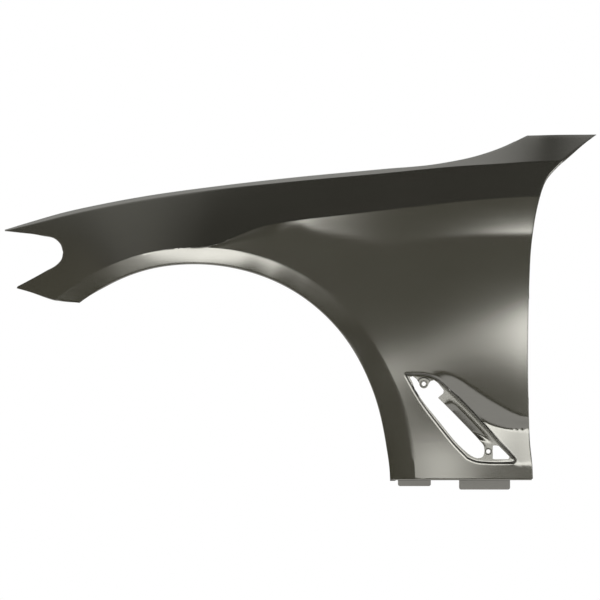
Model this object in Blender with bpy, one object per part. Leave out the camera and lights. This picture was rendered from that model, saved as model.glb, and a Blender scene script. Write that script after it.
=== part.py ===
"""Left front wing panel of a large saloon: one pressed and pierced sheet of aluminium.

The panel is drawn in millimetres about the wheel centre, with x rearwards, y inboard and z up.
Its outer skin is a distance outboard of the wheel plane, summed from a table of surface leans,
and is laid over four-sided patches of the side view. The edges are then folded, the side vent is sunk
in, the sheet is given its thickness and the holes are pierced.
The finished part sits in metres, with its origin under the middle bolt pad of the bonnet edge.
"""
import math

import bpy
import numpy as np

# Sheet and folds, in millimetres
SHEET = 1.2
FOLD_RADIUS = 2.2
FOLD_STEPS = 2
PITCH = 24.0
BODY_ROWS = 7
PRONG_STEPS = 4
VENT_ROWS = 4

# Bonnet edge: a wall down from the shut line, then a shelf with flat bolt pads
BONNET_WALL = 13.0
BONNET_SHELF = 27.0
BONNET_WEB = 14.0
BONNET_START = -338.0
BONNET_END = 604.0
PAD_LENGTH = 34.0
PAD_TAPER = 22.0
PAD_STATIONS = (-250.0, -88.0, 100.0, 288.0, 476.0)
PAD_SLOT_WIDTH = 7.0
PAD_SLOT_LENGTH = 12.0
PAD_SEAT = 11.5

# Turned-in edges
COWL_LIP = 8.0
DOOR_HEM = 13.0
ARCH_LIP = 12.0
FRONT_LIP = 8.0
LIP_RUN_OUT = 60.0
TIP_RELIEF = 16.0
HINGE_TAB = 15.0
HINGE_TAB_LENGTH = 36.0
HINGE_TAB_HEIGHTS = (318.0, 96.0)
HINGE_BOLT = 9.0
LINER_SCREW = 5.5
LINER_ANGLES = (-26.0, -4.0, 18.0, 40.0, 62.0, 84.0)

# Sill edge: a shelf with two down-turned tabs
SILL = -38.5
SILL_SHELF = 16.0
SILL_TABS = ((378.0, 440.0, 12.5), (493.0, 589.0, 19.0))

# Side vent: walls down to a flat floor with a long slot, a window round a tab and a strap.
# The floor's rear side keeps a ledge along its wall, then slopes inboard to the slot.
VENT_DEPTH_FRONT = 9.0
VENT_DEPTH_REAR = 15.0
VENT_ROLL = 2.2
VENT_DRAFT = 1.0
LEDGE_SHARE = 0.45
RAMP_DROP = 10.0
RAMP_STARTS = (0.16, 0.34)
RAMP_ENDS = (0.66, 0.88)
SLOT_FLANGE = 4.0
CLIP_HOLE = 7.4
CLIP_TAB = (426.8, 140.1)
CLIP_TAB_RADIUS = 8.6
STRAP_HOLE = (548.0, 13.2)

# Side view: stations of (x, z)
TOP_EDGE = ((-361, 430), (-309, 445.5), (-257, 460.5), (-181, 477.5), (-106, 491.5), (44, 512.5),
            (195, 529.5), (345, 543.5), (458, 554.5), (533, 570.5), (571, 583.5), (621, 607))
PILLAR_TIP = (751.0, 609.0)
PILLAR_BEND = 560.0
BONNET_CREASE = ((-361, 428), (-308, 441), (-250, 456), (-182, 471), (-88, 488), (0, 501), (194, 522),
                 (344, 535.5), (494, 549.5), (570, 554), (626, 557.5), (690, 560))
SHOULDER = ((-251, 388), (-180, 395), (-100, 399), (-30, 400), (10, 401), (40, 409), (80, 424), (120, 437),
            (152, 445.5), (194, 452), (269, 462.5), (344, 470), (419, 477.5), (494, 484), (570, 489), (650, 493))
CHANNEL = ((0, 390), (80, 402), (120, 424), (150, 440), (194, 441), (232, 435), (269, 430), (344, 418),
           (419, 417), (494, 421), (570, 423), (650, 424))
NOTCH = ((-361, 428), (-325, 424), (-292, 420.5), (-266, 415.5), (-255, 404), (-250.5, 388),
         (-253.5, 374.5), (-263, 363.5), (-284, 351.5), (-310, 337.5), (-337, 323.5))
NOTCH_NOSE = 5
FRONT_EDGE = ((-338.5, 320), (-313, 313), (-283, 304), (-253, 296.5), (-219, 292.5))
DOOR_EDGE = ((-38.5, 629.5), (-14, 628.5), (30, 624), (96, 621.5), (235, 620.5), (318, 622.5), (407, 627.5),
             (460, 635.5), (486, 641.5), (505, 646.5), (527, 656.5), (550, 676.5), (572, 701.5), (609, 751))
WAIST = ((420, 226), (520, 236))
WAIST_DOOR = 235.0
SPLIT_ARCH = 38.0
SPLIT_REAR = 58.0

# Wheel arch: stations of (degrees from straight up, radius) and of (degrees, width of the lip band)
ARCH_CENTRE = (-5.6, 0.0)
ARCH = ((-38, 362.5), (-26, 365.5), (-15, 367.5), (0, 367.5), (14, 368), (29, 368.4), (47, 366.3),
        (69, 361.4), (84, 362.8), (97, 371.5))
ARCH_BAND = ((-38, 33), (-15, 28.5), (0, 27.5), (17, 32), (30, 34), (50, 36.5), (66, 41), (75, 45), (97, 48))

# Vent outline and slot, each as a front, lower, rear and upper side
VENT_FRONT = ((390, 157.5), (419, 107), (457, 56.5), (485, 22.5), (508, -1))
VENT_LOWER = ((508, -1), (524, -7.5), (545, -9.8), (575, -10.3), (597, -9.3))
VENT_REAR = ((601.5, -1.5), (570, 34), (513, 95), (464.5, 143))
VENT_UPPER = ((464.5, 143), (451, 152.8), (436, 158.5), (415, 161), (394, 160.6))
SLOT_FRONT = ((405, 146), (409, 132), (419.5, 115.5), (457, 67.5), (494.5, 23), (510, 9))
SLOT_LOWER = ((510, 9), (519, 3.4), (529, 0.6), (537, 3), (541, 14))
SLOT_REAR = ((541, 14), (539.5, 24), (532, 34), (494.5, 75), (453, 114.5))
SLOT_UPPER = ((453, 114.5), (433, 123.5), (420, 130), (412, 139), (405, 146))
WINDOW = ((400.5, 152.5), (406, 154.5), (413, 149))
WINDOW_END = ((439, 145), (446, 147), (453.5, 141.5), (464, 128.5), (463.5, 122.5), (457, 117.5), (452, 112),
              (440, 104), (414, 126))
CORNER_HOLE = ((556.5, 24.5), (567, 24), (588, 3), (586, -1.5), (556.5, -1.5))

# Leans of the outer skin in degrees from upright, tipping back at the top, as stations of (x, lean).
# The crown is the lean that the upper body gains from the shoulder up to the bonnet crease, the swell
# is the flank's bulge at its own height, and the band's roll is the lean it loses across its width.
BONNET_PLAN = ((-361, -133), (-180, -85), (0, -55), (200, -33), (400, -15), (690, 0))
STRIP_TILT = ((-361, 62), (400, 62), (480, 58), (560, 50), (626, 46), (751, 42))
UPPER_TILT = ((-361, 34), (-250, 36.5), (-150, 40.5), (0, 40.5), (70, 38), (130, 37), (200, 36.5), (344, 36),
              (626, 34), (751, 34))
UPPER_CROWN = ((-361, 3), (-180, 3), (0, 4), (200, 2), (626, 0), (751, 0))
SHOULDER_START = 0.0
SHOULDER_RUN = 30.0
SHOULDER_BLEND = 1.0
SHELF_TILT = ((-361, -2), (80, -2), (120, -1), (150, 5), (194, 6.5), (232, 4.5), (269, 3), (344, 0.5), (419, 0.3),
              (751, 0.3))
COVE_TILT = ((-361, 0), (344, 0), (419, 0.5), (494, 3), (570, 5.5), (626, 7), (751, 7))
FLANK_TILT = ((-361, 5.5), (0, 4.5), (200, 4.5), (344, 4.3), (751, 4.3))
SWELL_TILT = ((-361, 0), (150, 0.5), (250, 2.5), (344, 5.3), (419, 4.4), (494, 4.8), (570, 6.7), (626, 8.5),
              (751, 8.5))
SWELL_HEIGHT = ((-361, 140), (344, 145), (419, 172), (494, 212), (570, 234), (626, 243), (751, 243))
SWELL_REACH = 76.0
FOOT_TILT = ((-361, 5), (300, 5.5), (400, 6), (450, 6), (500, 4.8), (560, 3), (751, 2))
FOOT_TOP = 140.0
FOOT_RUN = 150.0
BAND_TILT = ((-50, 9), (-30, 10), (-14, 11.5), (4, 12.5), (15, 11), (25, 8), (35, 4.5), (48, 0), (62, -8),
             (75, -12), (100, -14))
BAND_ROLL = ((-50, 0), (-14, 2), (4, 5), (32, 2), (60, 0), (100, 0))
CREASE_BLEND = 4.0
CHANNEL_BLEND = 9.0

# Flow-out behind the vent: the skin steps in along a ridge and comes back out at the sill crease
RIDGE_UPPER = ((452, 166), (466, 164.5), (485, 156), (532, 126), (570, 101.5), (598, 84.6), (640, 77))
RIDGE_LOWER = ((452, 142), (466, 128), (485, 115), (504, 98), (536, 71.4), (551, 63), (570, 57.3), (640, 54))
RIDGE_STEP = 14.0
RIDGE_START = 440.0
RIDGE_RUN = 60.0
SILL_CREASE = -11.0

FINISH = (0.205, 0.202, 0.188, 1.0)
FINISH_METALLIC = 0.9
FINISH_ROUGHNESS = 0.25


def curve(stations, at):
    """Smooth cubic through (place, value) stations, straight beyond the last ones."""
    place, value = np.array(stations, float).T
    slope = np.gradient(value, place)
    at = np.asarray(at, float)
    i = np.clip(np.searchsorted(place, at) - 1, 0, len(place) - 2)
    span = place[i + 1] - place[i]
    t = np.clip((at - place[i]) / span, 0, 1)
    inside = (value[i] * (1 + 2 * t) * (1 - t) ** 2 + span * slope[i] * t * (1 - t) ** 2
              + value[i + 1] * t * t * (3 - 2 * t) + span * slope[i + 1] * t * t * (t - 1))
    return inside + slope[0] * np.minimum(at - place[0], 0) + slope[-1] * np.maximum(at - place[-1], 0)


def ease(t):
    t = np.clip(t, 0, 1)
    return t * t * (3 - 2 * t)


def below(line, z, blend):
    """0 above a line and 1 below it, changing over the blend width."""
    return ease((line - z) / blend + 0.5)


def path(points, count):
    """Spline through points in the side view, as count + 1 points evenly spaced along it."""
    points = np.array(points, float)
    chord = np.concatenate([[0], np.cumsum(np.hypot(*np.diff(points, axis=0).T))])
    fine = np.linspace(0, chord[-1], 400)
    x = curve(np.column_stack([chord, points[:, 0]]), fine)
    z = curve(np.column_stack([chord, points[:, 1]]), fine)
    run = np.concatenate([[0], np.cumsum(np.hypot(np.diff(x), np.diff(z)))])
    want = np.linspace(0, run[-1], count + 1)
    return np.column_stack([np.interp(want, run, x), np.interp(want, run, z)])


def stations(knots, pitch):
    """Places from the first knot to the last that keep every knot and are at most a pitch apart."""
    out = [knots[0]]
    for a, b in zip(knots[:-1], knots[1:]):
        steps = max(1, math.ceil(abs(b - a) / pitch - 1e-6))
        out += [a + (b - a) * i / steps for i in range(1, steps + 1)]
    return np.array(out)


def tilt(x, z):
    """Lean of the outer skin at a place in the side view, in degrees."""
    crease, shoulder, channel = curve(BONNET_CREASE, x), curve(SHOULDER, x), curve(CHANNEL, x)
    up = np.clip((z - shoulder) / np.maximum(crease - shoulder, 1), -1, 1)
    down = np.clip((shoulder - z) / np.maximum(shoulder - channel, 1), 0, 1)
    plain = curve(FLANK_TILT, x)
    hollow = plain + curve(SHELF_TILT, x) * (1 - 0.35 * down) + curve(COVE_TILT, x) * down ** 1.6
    swell = curve(SWELL_TILT, x) * np.exp(-((z - curve(SWELL_HEIGHT, x)) / SWELL_REACH) ** 2)
    flank = plain + swell + curve(FOOT_TILT, x) * ease((FOOT_TOP - z) / FOOT_RUN)
    side = hollow + (flank - hollow) * below(channel, z, CHANNEL_BLEND)
    step = below(shoulder, z, SHOULDER_BLEND) * ease((x - SHOULDER_START) / SHOULDER_RUN + 0.5)
    upper = curve(UPPER_TILT, x) + curve(UPPER_CROWN, x) * (up - 0.5)
    body = upper * (1 - step) + side * step
    strip = curve(STRIP_TILT, x)
    return strip + (body - strip) * below(crease, z, CREASE_BLEND)


def sum_skin():
    """How far the skin stands out, on a grid: the tangent of the lean, summed down from the bonnet crease."""
    margin, dx, dz = 24.0, 4.0, 1.0
    xs = np.arange(BONNET_CREASE[0][0] - margin, PILLAR_TIP[0] + margin, dx)
    zs = np.arange(SILL - margin, PILLAR_TIP[1] + margin, dz)
    x, z = np.meshgrid(xs, zs, indexing="ij")
    rise = np.tan(np.radians(tilt(x, z))) * dz
    run = np.concatenate([np.zeros((len(xs), 1)), np.cumsum((rise[:, 1:] + rise[:, :-1]) / 2, axis=1)], axis=1)
    at_crease = np.array([np.interp(c, zs, r) for c, r in zip(curve(BONNET_CREASE, xs), run)])
    out = (curve(BONNET_PLAN, xs) + at_crease)[:, None] - run
    upper, lower = curve(RIDGE_UPPER, x), curve(RIDGE_LOWER, x)
    into = ease((upper - z) / np.maximum(upper - lower, 1))
    back = np.clip((z - SILL_CREASE) / np.maximum(lower - SILL_CREASE, 1), 0, 1)
    return xs, zs, out - RIDGE_STEP * ease((x - RIDGE_START) / RIDGE_RUN) * into * back


SKIN_X, SKIN_Z, SKIN_OUT = sum_skin()


def body_out(x, z):
    """How far outboard of the wheel plane the body surface stands."""
    u = np.clip((np.asarray(x, float) - SKIN_X[0]) / (SKIN_X[1] - SKIN_X[0]), 0, len(SKIN_X) - 1.001)
    v = np.clip((np.asarray(z, float) - SKIN_Z[0]) / (SKIN_Z[1] - SKIN_Z[0]), 0, len(SKIN_Z) - 1.001)
    i, j = u.astype(int), v.astype(int)
    u, v = u - i, v - j
    return ((SKIN_OUT[i, j] * (1 - u) + SKIN_OUT[i + 1, j] * u) * (1 - v)
            + (SKIN_OUT[i, j + 1] * (1 - u) + SKIN_OUT[i + 1, j + 1] * u) * v)


def arch_point(degrees, beyond=0.0):
    """Point of the arch edge, or of the band's crease where beyond is 1."""
    radius = curve(ARCH, degrees) + beyond * curve(ARCH_BAND, degrees)
    a = np.radians(degrees)
    return np.stack([ARCH_CENTRE[0] + radius * np.sin(a), ARCH_CENTRE[1] + radius * np.cos(a)], axis=-1)


def skin_y(points):
    """Inboard place of the outer surface, with the band inside the arch crease on its own lean."""
    x, z = points[..., 0], points[..., 1]
    degrees = np.degrees(np.arctan2(x - ARCH_CENTRE[0], z - ARCH_CENTRE[1]))
    crease, width = arch_point(degrees, 1.0), curve(ARCH_BAND, degrees)
    inside = np.hypot(*(crease - ARCH_CENTRE).T).T - np.hypot(x - ARCH_CENTRE[0], z - ARCH_CENTRE[1])
    share = np.clip(inside / width, 0, 1)
    rolled = np.radians(curve(BAND_ROLL, degrees)) * width * (share - share ** 2) / 2
    band = body_out(crease[..., 0], crease[..., 1]) + inside * np.tan(np.radians(curve(BAND_TILT, degrees))) + rolled
    body = body_out(x, z)
    return -(body + (band - body) * ease(inside / CREASE_BLEND + 0.5))


def patch(lower, upper, left, right):
    """Grid over the four-sided region between four edges that meet at their ends."""
    u = np.linspace(0, 1, len(lower))[:, None, None]
    v = np.linspace(0, 1, len(left))[None, :, None]
    ends = ((1 - u) * (1 - v) * lower[0] + u * (1 - v) * lower[-1]
            + (1 - u) * v * upper[0] + u * v * upper[-1])
    return ((1 - v) * lower[:, None] + v * upper[:, None] + (1 - u) * left[None] + u * right[None] - ends)


def straight(a, b, count):
    t = np.linspace(0, 1, count + 1)[:, None]
    return np.array(a) * (1 - t) + np.array(b) * t


def solve(low, high, gap):
    """Place between low and high where gap changes sign."""
    side = gap(low) > 0
    for _ in range(50):
        mid = (low + high) / 2
        low, high = (mid, high) if (gap(mid) > 0) == side else (low, mid)
    return (low + high) / 2


class Sheet:
    """The open outer surface while it is drawn: welded points and faces."""

    def __init__(self):
        self.points, self.faces, self.at = [], [], {}

    def point(self, place):
        key = tuple(int(round(c * 500)) for c in place)
        if key not in self.at:
            self.at[key] = len(self.points)
            self.points.append(tuple(float(c) for c in place))
        return self.at[key]

    def add(self, grid, flip=False):
        ids = [[self.point(p) for p in row] for row in grid]
        for i in range(len(ids) - 1):
            for j in range(len(ids[0]) - 1):
                face = [ids[i][j], ids[i + 1][j], ids[i + 1][j + 1], ids[i][j + 1]]
                face = [v for k, v in enumerate(face) if v != face[k - 1]]
                if len(face) > 2:
                    self.faces.append(face[::-1] if flip else face)
        return ids

    def lay(self, grid):
        """Add a patch of the side view, lifted onto the skin and facing outboard."""
        i, j = grid.shape[0] // 2, grid.shape[1] // 2
        span_u, span_v = grid[i, j] - grid[i - 1, j], grid[i, j] - grid[i, j - 1]
        turned = span_u[0] * span_v[1] - span_u[1] * span_v[0] < 0
        return self.add(np.stack([grid[..., 0], skin_y(grid), grid[..., 1]], axis=-1), turned)


def outward(line):
    """Unit normals to the right of a line's direction of travel in the side view."""
    step = np.gradient(line, axis=0)
    step /= np.linalg.norm(step, axis=1, keepdims=True)
    return np.column_stack([step[:, 1], -step[:, 0]])


def fold(line, last_angle):
    """Rows of (x, y, z) that roll a skin edge over from its own slope to the angle of the flange.

    The line runs with the sheet on its left. An angle of 90 degrees points straight inboard.
    """
    n = outward(line)
    y = skin_y(line)
    first = np.arctan2(y - skin_y(line - n), 1.0)
    rows = []
    for k in range(FOLD_STEPS + 1):
        a = first + (np.radians(last_angle) - first) * k / FOLD_STEPS
        out = FOLD_RADIUS * (np.sin(a) - np.sin(first))
        inboard = FOLD_RADIUS * (np.cos(first) - np.cos(a))
        rows.append(np.column_stack([line[:, 0] + n[:, 0] * out, y + inboard, line[:, 1] + n[:, 1] * out]))
    return rows, n


def run_of(line):
    """Distance along a line of points, from its first."""
    return np.concatenate([[0], np.cumsum(np.linalg.norm(np.diff(line, axis=0), axis=1))])


def run_out(line, low=0.25):
    """Share of a flange's full width, narrowing over a set run to its two ends."""
    run = run_of(line)
    return low + (1 - low) * ease(np.minimum(run, run[-1] - run) / LIP_RUN_OUT)


def lip(line, width, angle=90.0):
    """A turned-in edge: the fold, then a flat of the width less the radius."""
    rows, n = fold(line, angle)
    reach = (width - FOLD_RADIUS) * run_out(line)
    a = math.radians(angle)
    step = np.column_stack([n[:, 0] * math.cos(a), np.full(len(n), math.sin(a)), n[:, 1] * math.cos(a)])
    rows.append(rows[-1] + step * reach[:, None])
    return np.array(rows)


def level(x, ranges, values):
    """Straight runs between level stretches, which hold their own value."""
    places = [end for span in ranges for end in span]
    return np.interp(x, places, [v for v in values for _ in range(2)])


def bonnet_flange(line):
    """Wall and padded shelf along the bonnet edge; the line runs from the pillar to the nose."""
    rows, _ = fold(line, 176.0)
    x = line[:, 0]
    pads = [(c - PAD_LENGTH / 2, c + PAD_LENGTH / 2) for c in PAD_STATIONS]
    heights = [float(curve(TOP_EDGE, c)) - BONNET_WALL for c in PAD_STATIONS]
    shelf = level(x, pads, heights)
    slope = np.gradient(np.array(heights)) / np.gradient(np.array(PAD_STATIONS))
    shelf = np.where(x < pads[0][0], heights[0] + (x - pads[0][0]) * slope[0], shelf)
    shelf = np.where(x > pads[-1][1], heights[-1] + (x - pads[-1][1]) * slope[-1], shelf)
    shelf = np.minimum(shelf, rows[-1][:, 2] - 1.5)
    nose = ease((x - BONNET_START) / 60)
    shelf = rows[-1][:, 2] - 1.5 + (shelf - rows[-1][:, 2] + 1.5) * nose
    past = np.min([np.abs(x - c) for c in PAD_STATIONS], axis=0) - PAD_LENGTH / 2
    width = BONNET_SHELF + (BONNET_WEB - BONNET_SHELF) * ease(past / PAD_TAPER)
    width = np.minimum(width, 5 + BONNET_WEB * 4 * nose)
    foot = rows[-1][:, 1] + 1.0
    rows.append(np.column_stack([x, foot, shelf]))
    rows.append(np.column_stack([x, foot + width * 0.5, shelf]))
    rows.append(np.column_stack([x, foot + width, shelf]))
    return np.array(rows)


def door_hem(line):
    """Turned-in door edge with flat hinge-pillar tabs; the line runs up from the sill."""
    rows, _ = fold(line, 90.0)
    z = line[:, 1]
    spans = [(h - HINGE_TAB_LENGTH / 2, h + HINGE_TAB_LENGTH / 2) for h in sorted(HINGE_TAB_HEIGHTS)]
    reach = (DOOR_HEM - FOLD_RADIUS) * run_out(line)
    flat = rows[-1][:, 0].copy()
    for a, b in spans:
        on = (z > a - 1) & (z < b + 1)
        reach = np.where(on, DOOR_HEM + HINGE_TAB - FOLD_RADIUS, reach)
        flat = np.where(on, flat[on].mean(), flat)
    rows[-1][:, 0] = flat
    rows.append(rows[-1] + np.column_stack([np.zeros(len(z)), reach * 0.5, np.zeros(len(z))]))
    rows.append(rows[-2] + np.column_stack([np.zeros(len(z)), reach, np.zeros(len(z))]))
    return np.array(rows)


def sill_shelf(line):
    """Shelf under the bottom edge, whose inner edge is level with each tab; the line runs rearwards."""
    rows, _ = fold(line, 90.0)
    x = line[:, 0]
    spans = [(a, b) for a, b, _ in SILL_TABS]
    seat = [float(skin_y(np.array([(a + b) / 2, SILL]))) + SILL_SHELF for a, b in spans]
    inner = np.column_stack([rows[-1][:, 0], level(x, spans, seat), rows[-1][:, 2]])
    rows.append((rows[-1] + inner) / 2)
    rows.append(inner)
    return np.array(rows)


def mesh_object(name, points, faces):
    mesh = bpy.data.meshes.new(name)
    mesh.from_pydata([tuple(c * 0.001 for c in p) for p in points], [], faces)
    mesh.update()
    obj = bpy.data.objects.new(name, mesh)
    bpy.context.collection.objects.link(obj)
    return obj


def obround(centre, axis, along, width, length, reach, steps=6):
    """Closed prism with round ends: points and faces, for a hole or a slot."""
    axis, along = np.array(axis, float), np.array(along, float)
    axis, along = axis / np.linalg.norm(axis), along / np.linalg.norm(along)
    across = np.cross(axis, along)
    ring = []
    for side in (1, -1):
        for k in range(steps + 1):
            a = math.pi * k / steps - math.pi / 2
            ring.append(side * (along * ((length - width) / 2 + math.cos(a) * width / 2)
                                + across * math.sin(a) * width / 2))
    if length - width < 0.01:
        ring = [r for k, r in enumerate(ring) if k % (steps + 1) != steps]
    return prism(np.array(ring) + np.array(centre), axis, reach)


def prism(ring, axis, reach):
    """Closed prism that carries a ring along an axis, the same way in both directions."""
    n = len(ring)
    points = [*(ring - axis * reach), *(ring + axis * reach)]
    faces = [[i, (i + 1) % n, n + (i + 1) % n, n + i] for i in range(n)]
    return points, faces + [list(range(n))[::-1], list(range(n, 2 * n))]


def side_prism(outline, middle, reach):
    """Cutter with an outline in the side view that passes through the sheet at one depth."""
    ring = np.array([(x, middle, z) for x, z in outline])
    area = sum(a[0] * b[1] - b[0] * a[1] for a, b in zip(outline, [*outline[1:], outline[0]]))
    return prism(ring if area < 0 else ring[::-1], np.array([0, 1.0, 0]), reach)


def draw_skin(sheet):
    """Lay the patches of the outer skin and return its named edge lines in the side view."""
    door_x = lambda z: float(curve(DOOR_EDGE, z))
    crease_end = solve(SHOULDER[-1][1], PILLAR_TIP[1], lambda z: z - float(curve(BONNET_CREASE, door_x(z))))
    shoulder_end = solve(CHANNEL[-1][1], BONNET_CREASE[-1][1], lambda z: z - float(curve(SHOULDER, door_x(z))))
    front = solve(-90, 0, lambda a: arch_point(a, 1)[1] - float(curve(FRONT_EDGE, arch_point(a, 1)[0])))
    corner = solve(-90, 0, lambda a: arch_point(a)[1] - float(curve(FRONT_EDGE, arch_point(a)[0])))
    rear = solve(0, 180, lambda a: arch_point(a, 1)[1] - SILL)
    heel = solve(0, 180, lambda a: arch_point(a)[1] - SILL)

    # Columns run from the nose to the door edge and keep the pads' ends and the pillar corner
    nose_x, end_x = BONNET_CREASE[0][0], door_x(crease_end)
    split = PAD_STATIONS[3] - PAD_LENGTH / 2
    pillar, bend = TOP_EDGE[-1][0], PILLAR_BEND
    squeeze = (end_x - bend) / (PILLAR_TIP[0] - bend)
    pads = [c + s * PAD_LENGTH / 2 for c in PAD_STATIONS for s in (-1, 1)]
    knots = sorted([nose_x, BONNET_START, *pads, bend + (pillar - bend) * squeeze, end_x])
    x1 = stations(knots, PITCH)
    cut = int(np.argmin(abs(x1 - split)))
    crease = np.column_stack([x1, curve(BONNET_CREASE, x1)])
    crease[-1] = (end_x, crease_end)
    xt = np.where(x1 > bend, bend + (x1 - bend) / squeeze, x1)
    top_z = np.where(xt > pillar + 0.01, np.interp(xt, [pillar, PILLAR_TIP[0]], [TOP_EDGE[-1][1], PILLAR_TIP[1]]),
                     curve(TOP_EDGE, xt))
    top = np.column_stack([xt, top_z])
    nose = NOTCH[NOTCH_NOSE]
    xs = np.where(x1 < split, nose[0] + (x1 - nose_x) * (split - nose[0]) / (split - nose_x),
                  split + (x1 - split) * (door_x(shoulder_end) - split) / (end_x - split))
    shoulder = np.column_stack([xs, curve(SHOULDER, xs)])
    shoulder[0], shoulder[-1] = nose, (door_x(shoulder_end), shoulder_end)

    def door(knots, pitch=PITCH):
        z = stations(knots, pitch)
        return np.column_stack([curve(DOOR_EDGE, z), z])

    tabs = [(h - HINGE_TAB_LENGTH / 2, h + HINGE_TAB_LENGTH / 2) for h in HINGE_TAB_HEIGHTS]
    strip_end = door((crease_end, PILLAR_TIP[1]), 34)
    strip_end[-1] = PILLAR_TIP
    sheet.lay(patch(crease, top, straight(crease[0], top[0], len(strip_end) - 1), strip_end))
    upper_end = door((shoulder_end, crease_end), 16)
    notch_upper = path(NOTCH[NOTCH_NOSE::-1], len(upper_end) - 1)
    sheet.lay(patch(shoulder, crease, notch_upper, upper_end))

    # Arch: crease from the front edge to the sill, in three stretches
    rows = BODY_ROWS
    arch_a = np.linspace(front, SPLIT_ARCH, cut + 1)
    lower_door = door((WAIST_DOOR, tabs[0][0], tabs[0][1], shoulder_end), 22)
    rows_b = len(lower_door) - 1 - rows
    arch_b = np.linspace(SPLIT_ARCH, SPLIT_REAR, rows_b + 1)
    rear_door = door((SILL, tabs[1][0], tabs[1][1], WAIST_DOOR), 22)
    arch_c = np.linspace(SPLIT_REAR, rear, len(rear_door))
    nose_drop = straight(arch_point(front, 1), nose, rows)
    rise = straight(arch_point(SPLIT_ARCH, 1), shoulder[cut], rows)
    sheet.lay(patch(arch_point(arch_a, 1), shoulder[:cut + 1], nose_drop, rise))

    # Front prong below the headlamp notch
    tip_top, tip_low = np.array(NOTCH[-1]), np.array(FRONT_EDGE[0])
    notch_lower = path(NOTCH[NOTCH_NOSE:], PRONG_STEPS)
    under = np.column_stack([np.linspace(tip_low[0], nose_drop[0, 0], PRONG_STEPS + 1)] * 2)
    under[:, 1] = curve(FRONT_EDGE, under[:, 0])
    under[-1] = nose_drop[0]
    sheet.lay(patch(under, notch_lower[::-1], straight(tip_low, tip_top, rows), nose_drop))

    # Flank between the shoulder and the vent, then four patches round the vent
    flank_front = np.vstack([arch_point(arch_b, 1)[::-1], rise[1:]])
    columns = len(x1) - 1 - cut
    waist_line = path([arch_point(SPLIT_REAR, 1), *WAIST, (door_x(WAIST_DOOR), WAIST_DOOR)], columns)
    sheet.lay(patch(waist_line, shoulder[cut:], flank_front, lower_door))
    sill_knots = [x for a, b, _ in SILL_TABS for x in (a, b) if x > arch_point(rear, 1)[0]]
    sill_x = stations([*sill_knots, door_x(SILL)], PITCH)
    sill_x = np.concatenate([[arch_point(rear, 1)[0]], sill_x])
    sill = np.column_stack([sill_x, np.full(len(sill_x), SILL)])
    sill[0] = arch_point(rear, 1)
    behind = arch_point(arch_c, 1)
    vent = [path(VENT_UPPER[::-1], columns), path(VENT_FRONT, len(behind) - 1),
            path(VENT_LOWER, len(sill) - 1), path(VENT_REAR, len(rear_door) - 1)]
    corners = [(vent[0][0] + vent[1][0]) / 2, (vent[1][-1] + vent[2][0]) / 2,
               (vent[2][-1] + vent[3][0]) / 2, (vent[3][-1] + vent[0][-1]) / 2]
    for side, a, b in ((0, 0, 3), (1, 0, 1), (2, 1, 2), (3, 2, 3)):
        vent[side][0], vent[side][-1] = corners[a], corners[b]
    spokes = [straight(waist_line[0], corners[0], VENT_ROWS), straight(behind[-1], corners[1], VENT_ROWS),
              straight(sill[-1], corners[2], VENT_ROWS), straight(waist_line[-1], corners[3], VENT_ROWS)]
    sheet.lay(patch(waist_line, vent[0], spokes[0], spokes[3]))
    sheet.lay(patch(behind, vent[1], spokes[0], spokes[1]))
    sheet.lay(patch(sill, vent[2], spokes[1], spokes[2]))
    sheet.lay(patch(rear_door, vent[3], spokes[2], spokes[3]))

    # Arch band, from the crease to the arch edge
    share = (arch_point(rear, 1)[0] - SILL_TABS[0][0]) / (arch_point(rear, 1)[0] - arch_point(heel)[0])
    widths = np.array([0, share / 2, share, 1])
    angles = np.concatenate([arch_a, arch_b[1:], arch_c[1:]])
    t = (angles - front) / (rear - front)
    edge_angles = corner + (heel - corner) * t
    crease_line, edge_line = arch_point(angles, 1), arch_point(edge_angles)
    front_end = crease_line[0] + (edge_line[0] - crease_line[0]) * widths[:, None]
    front_end[:, 1] = curve(FRONT_EDGE, front_end[:, 0])
    rear_end = crease_line[-1] + (edge_line[-1] - crease_line[-1]) * widths[:, None]
    front_end[0], front_end[-1] = crease_line[0], edge_line[0]
    band = crease_line[:, None] * (1 - widths[:, None]) + edge_line[:, None] * widths[:, None]
    band[0], band[-1] = front_end, rear_end
    sheet.lay(band)

    return {
        "top": top, "strip_end": strip_end, "upper_end": upper_end, "lower_door": lower_door,
        "rear_door": rear_door, "sill": sill, "heel": rear_end, "arch": edge_line, "front": front_end,
        "under": under, "notch": np.vstack([notch_upper[::-1], notch_lower[1:]]), "vent": vent,
    }


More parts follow.
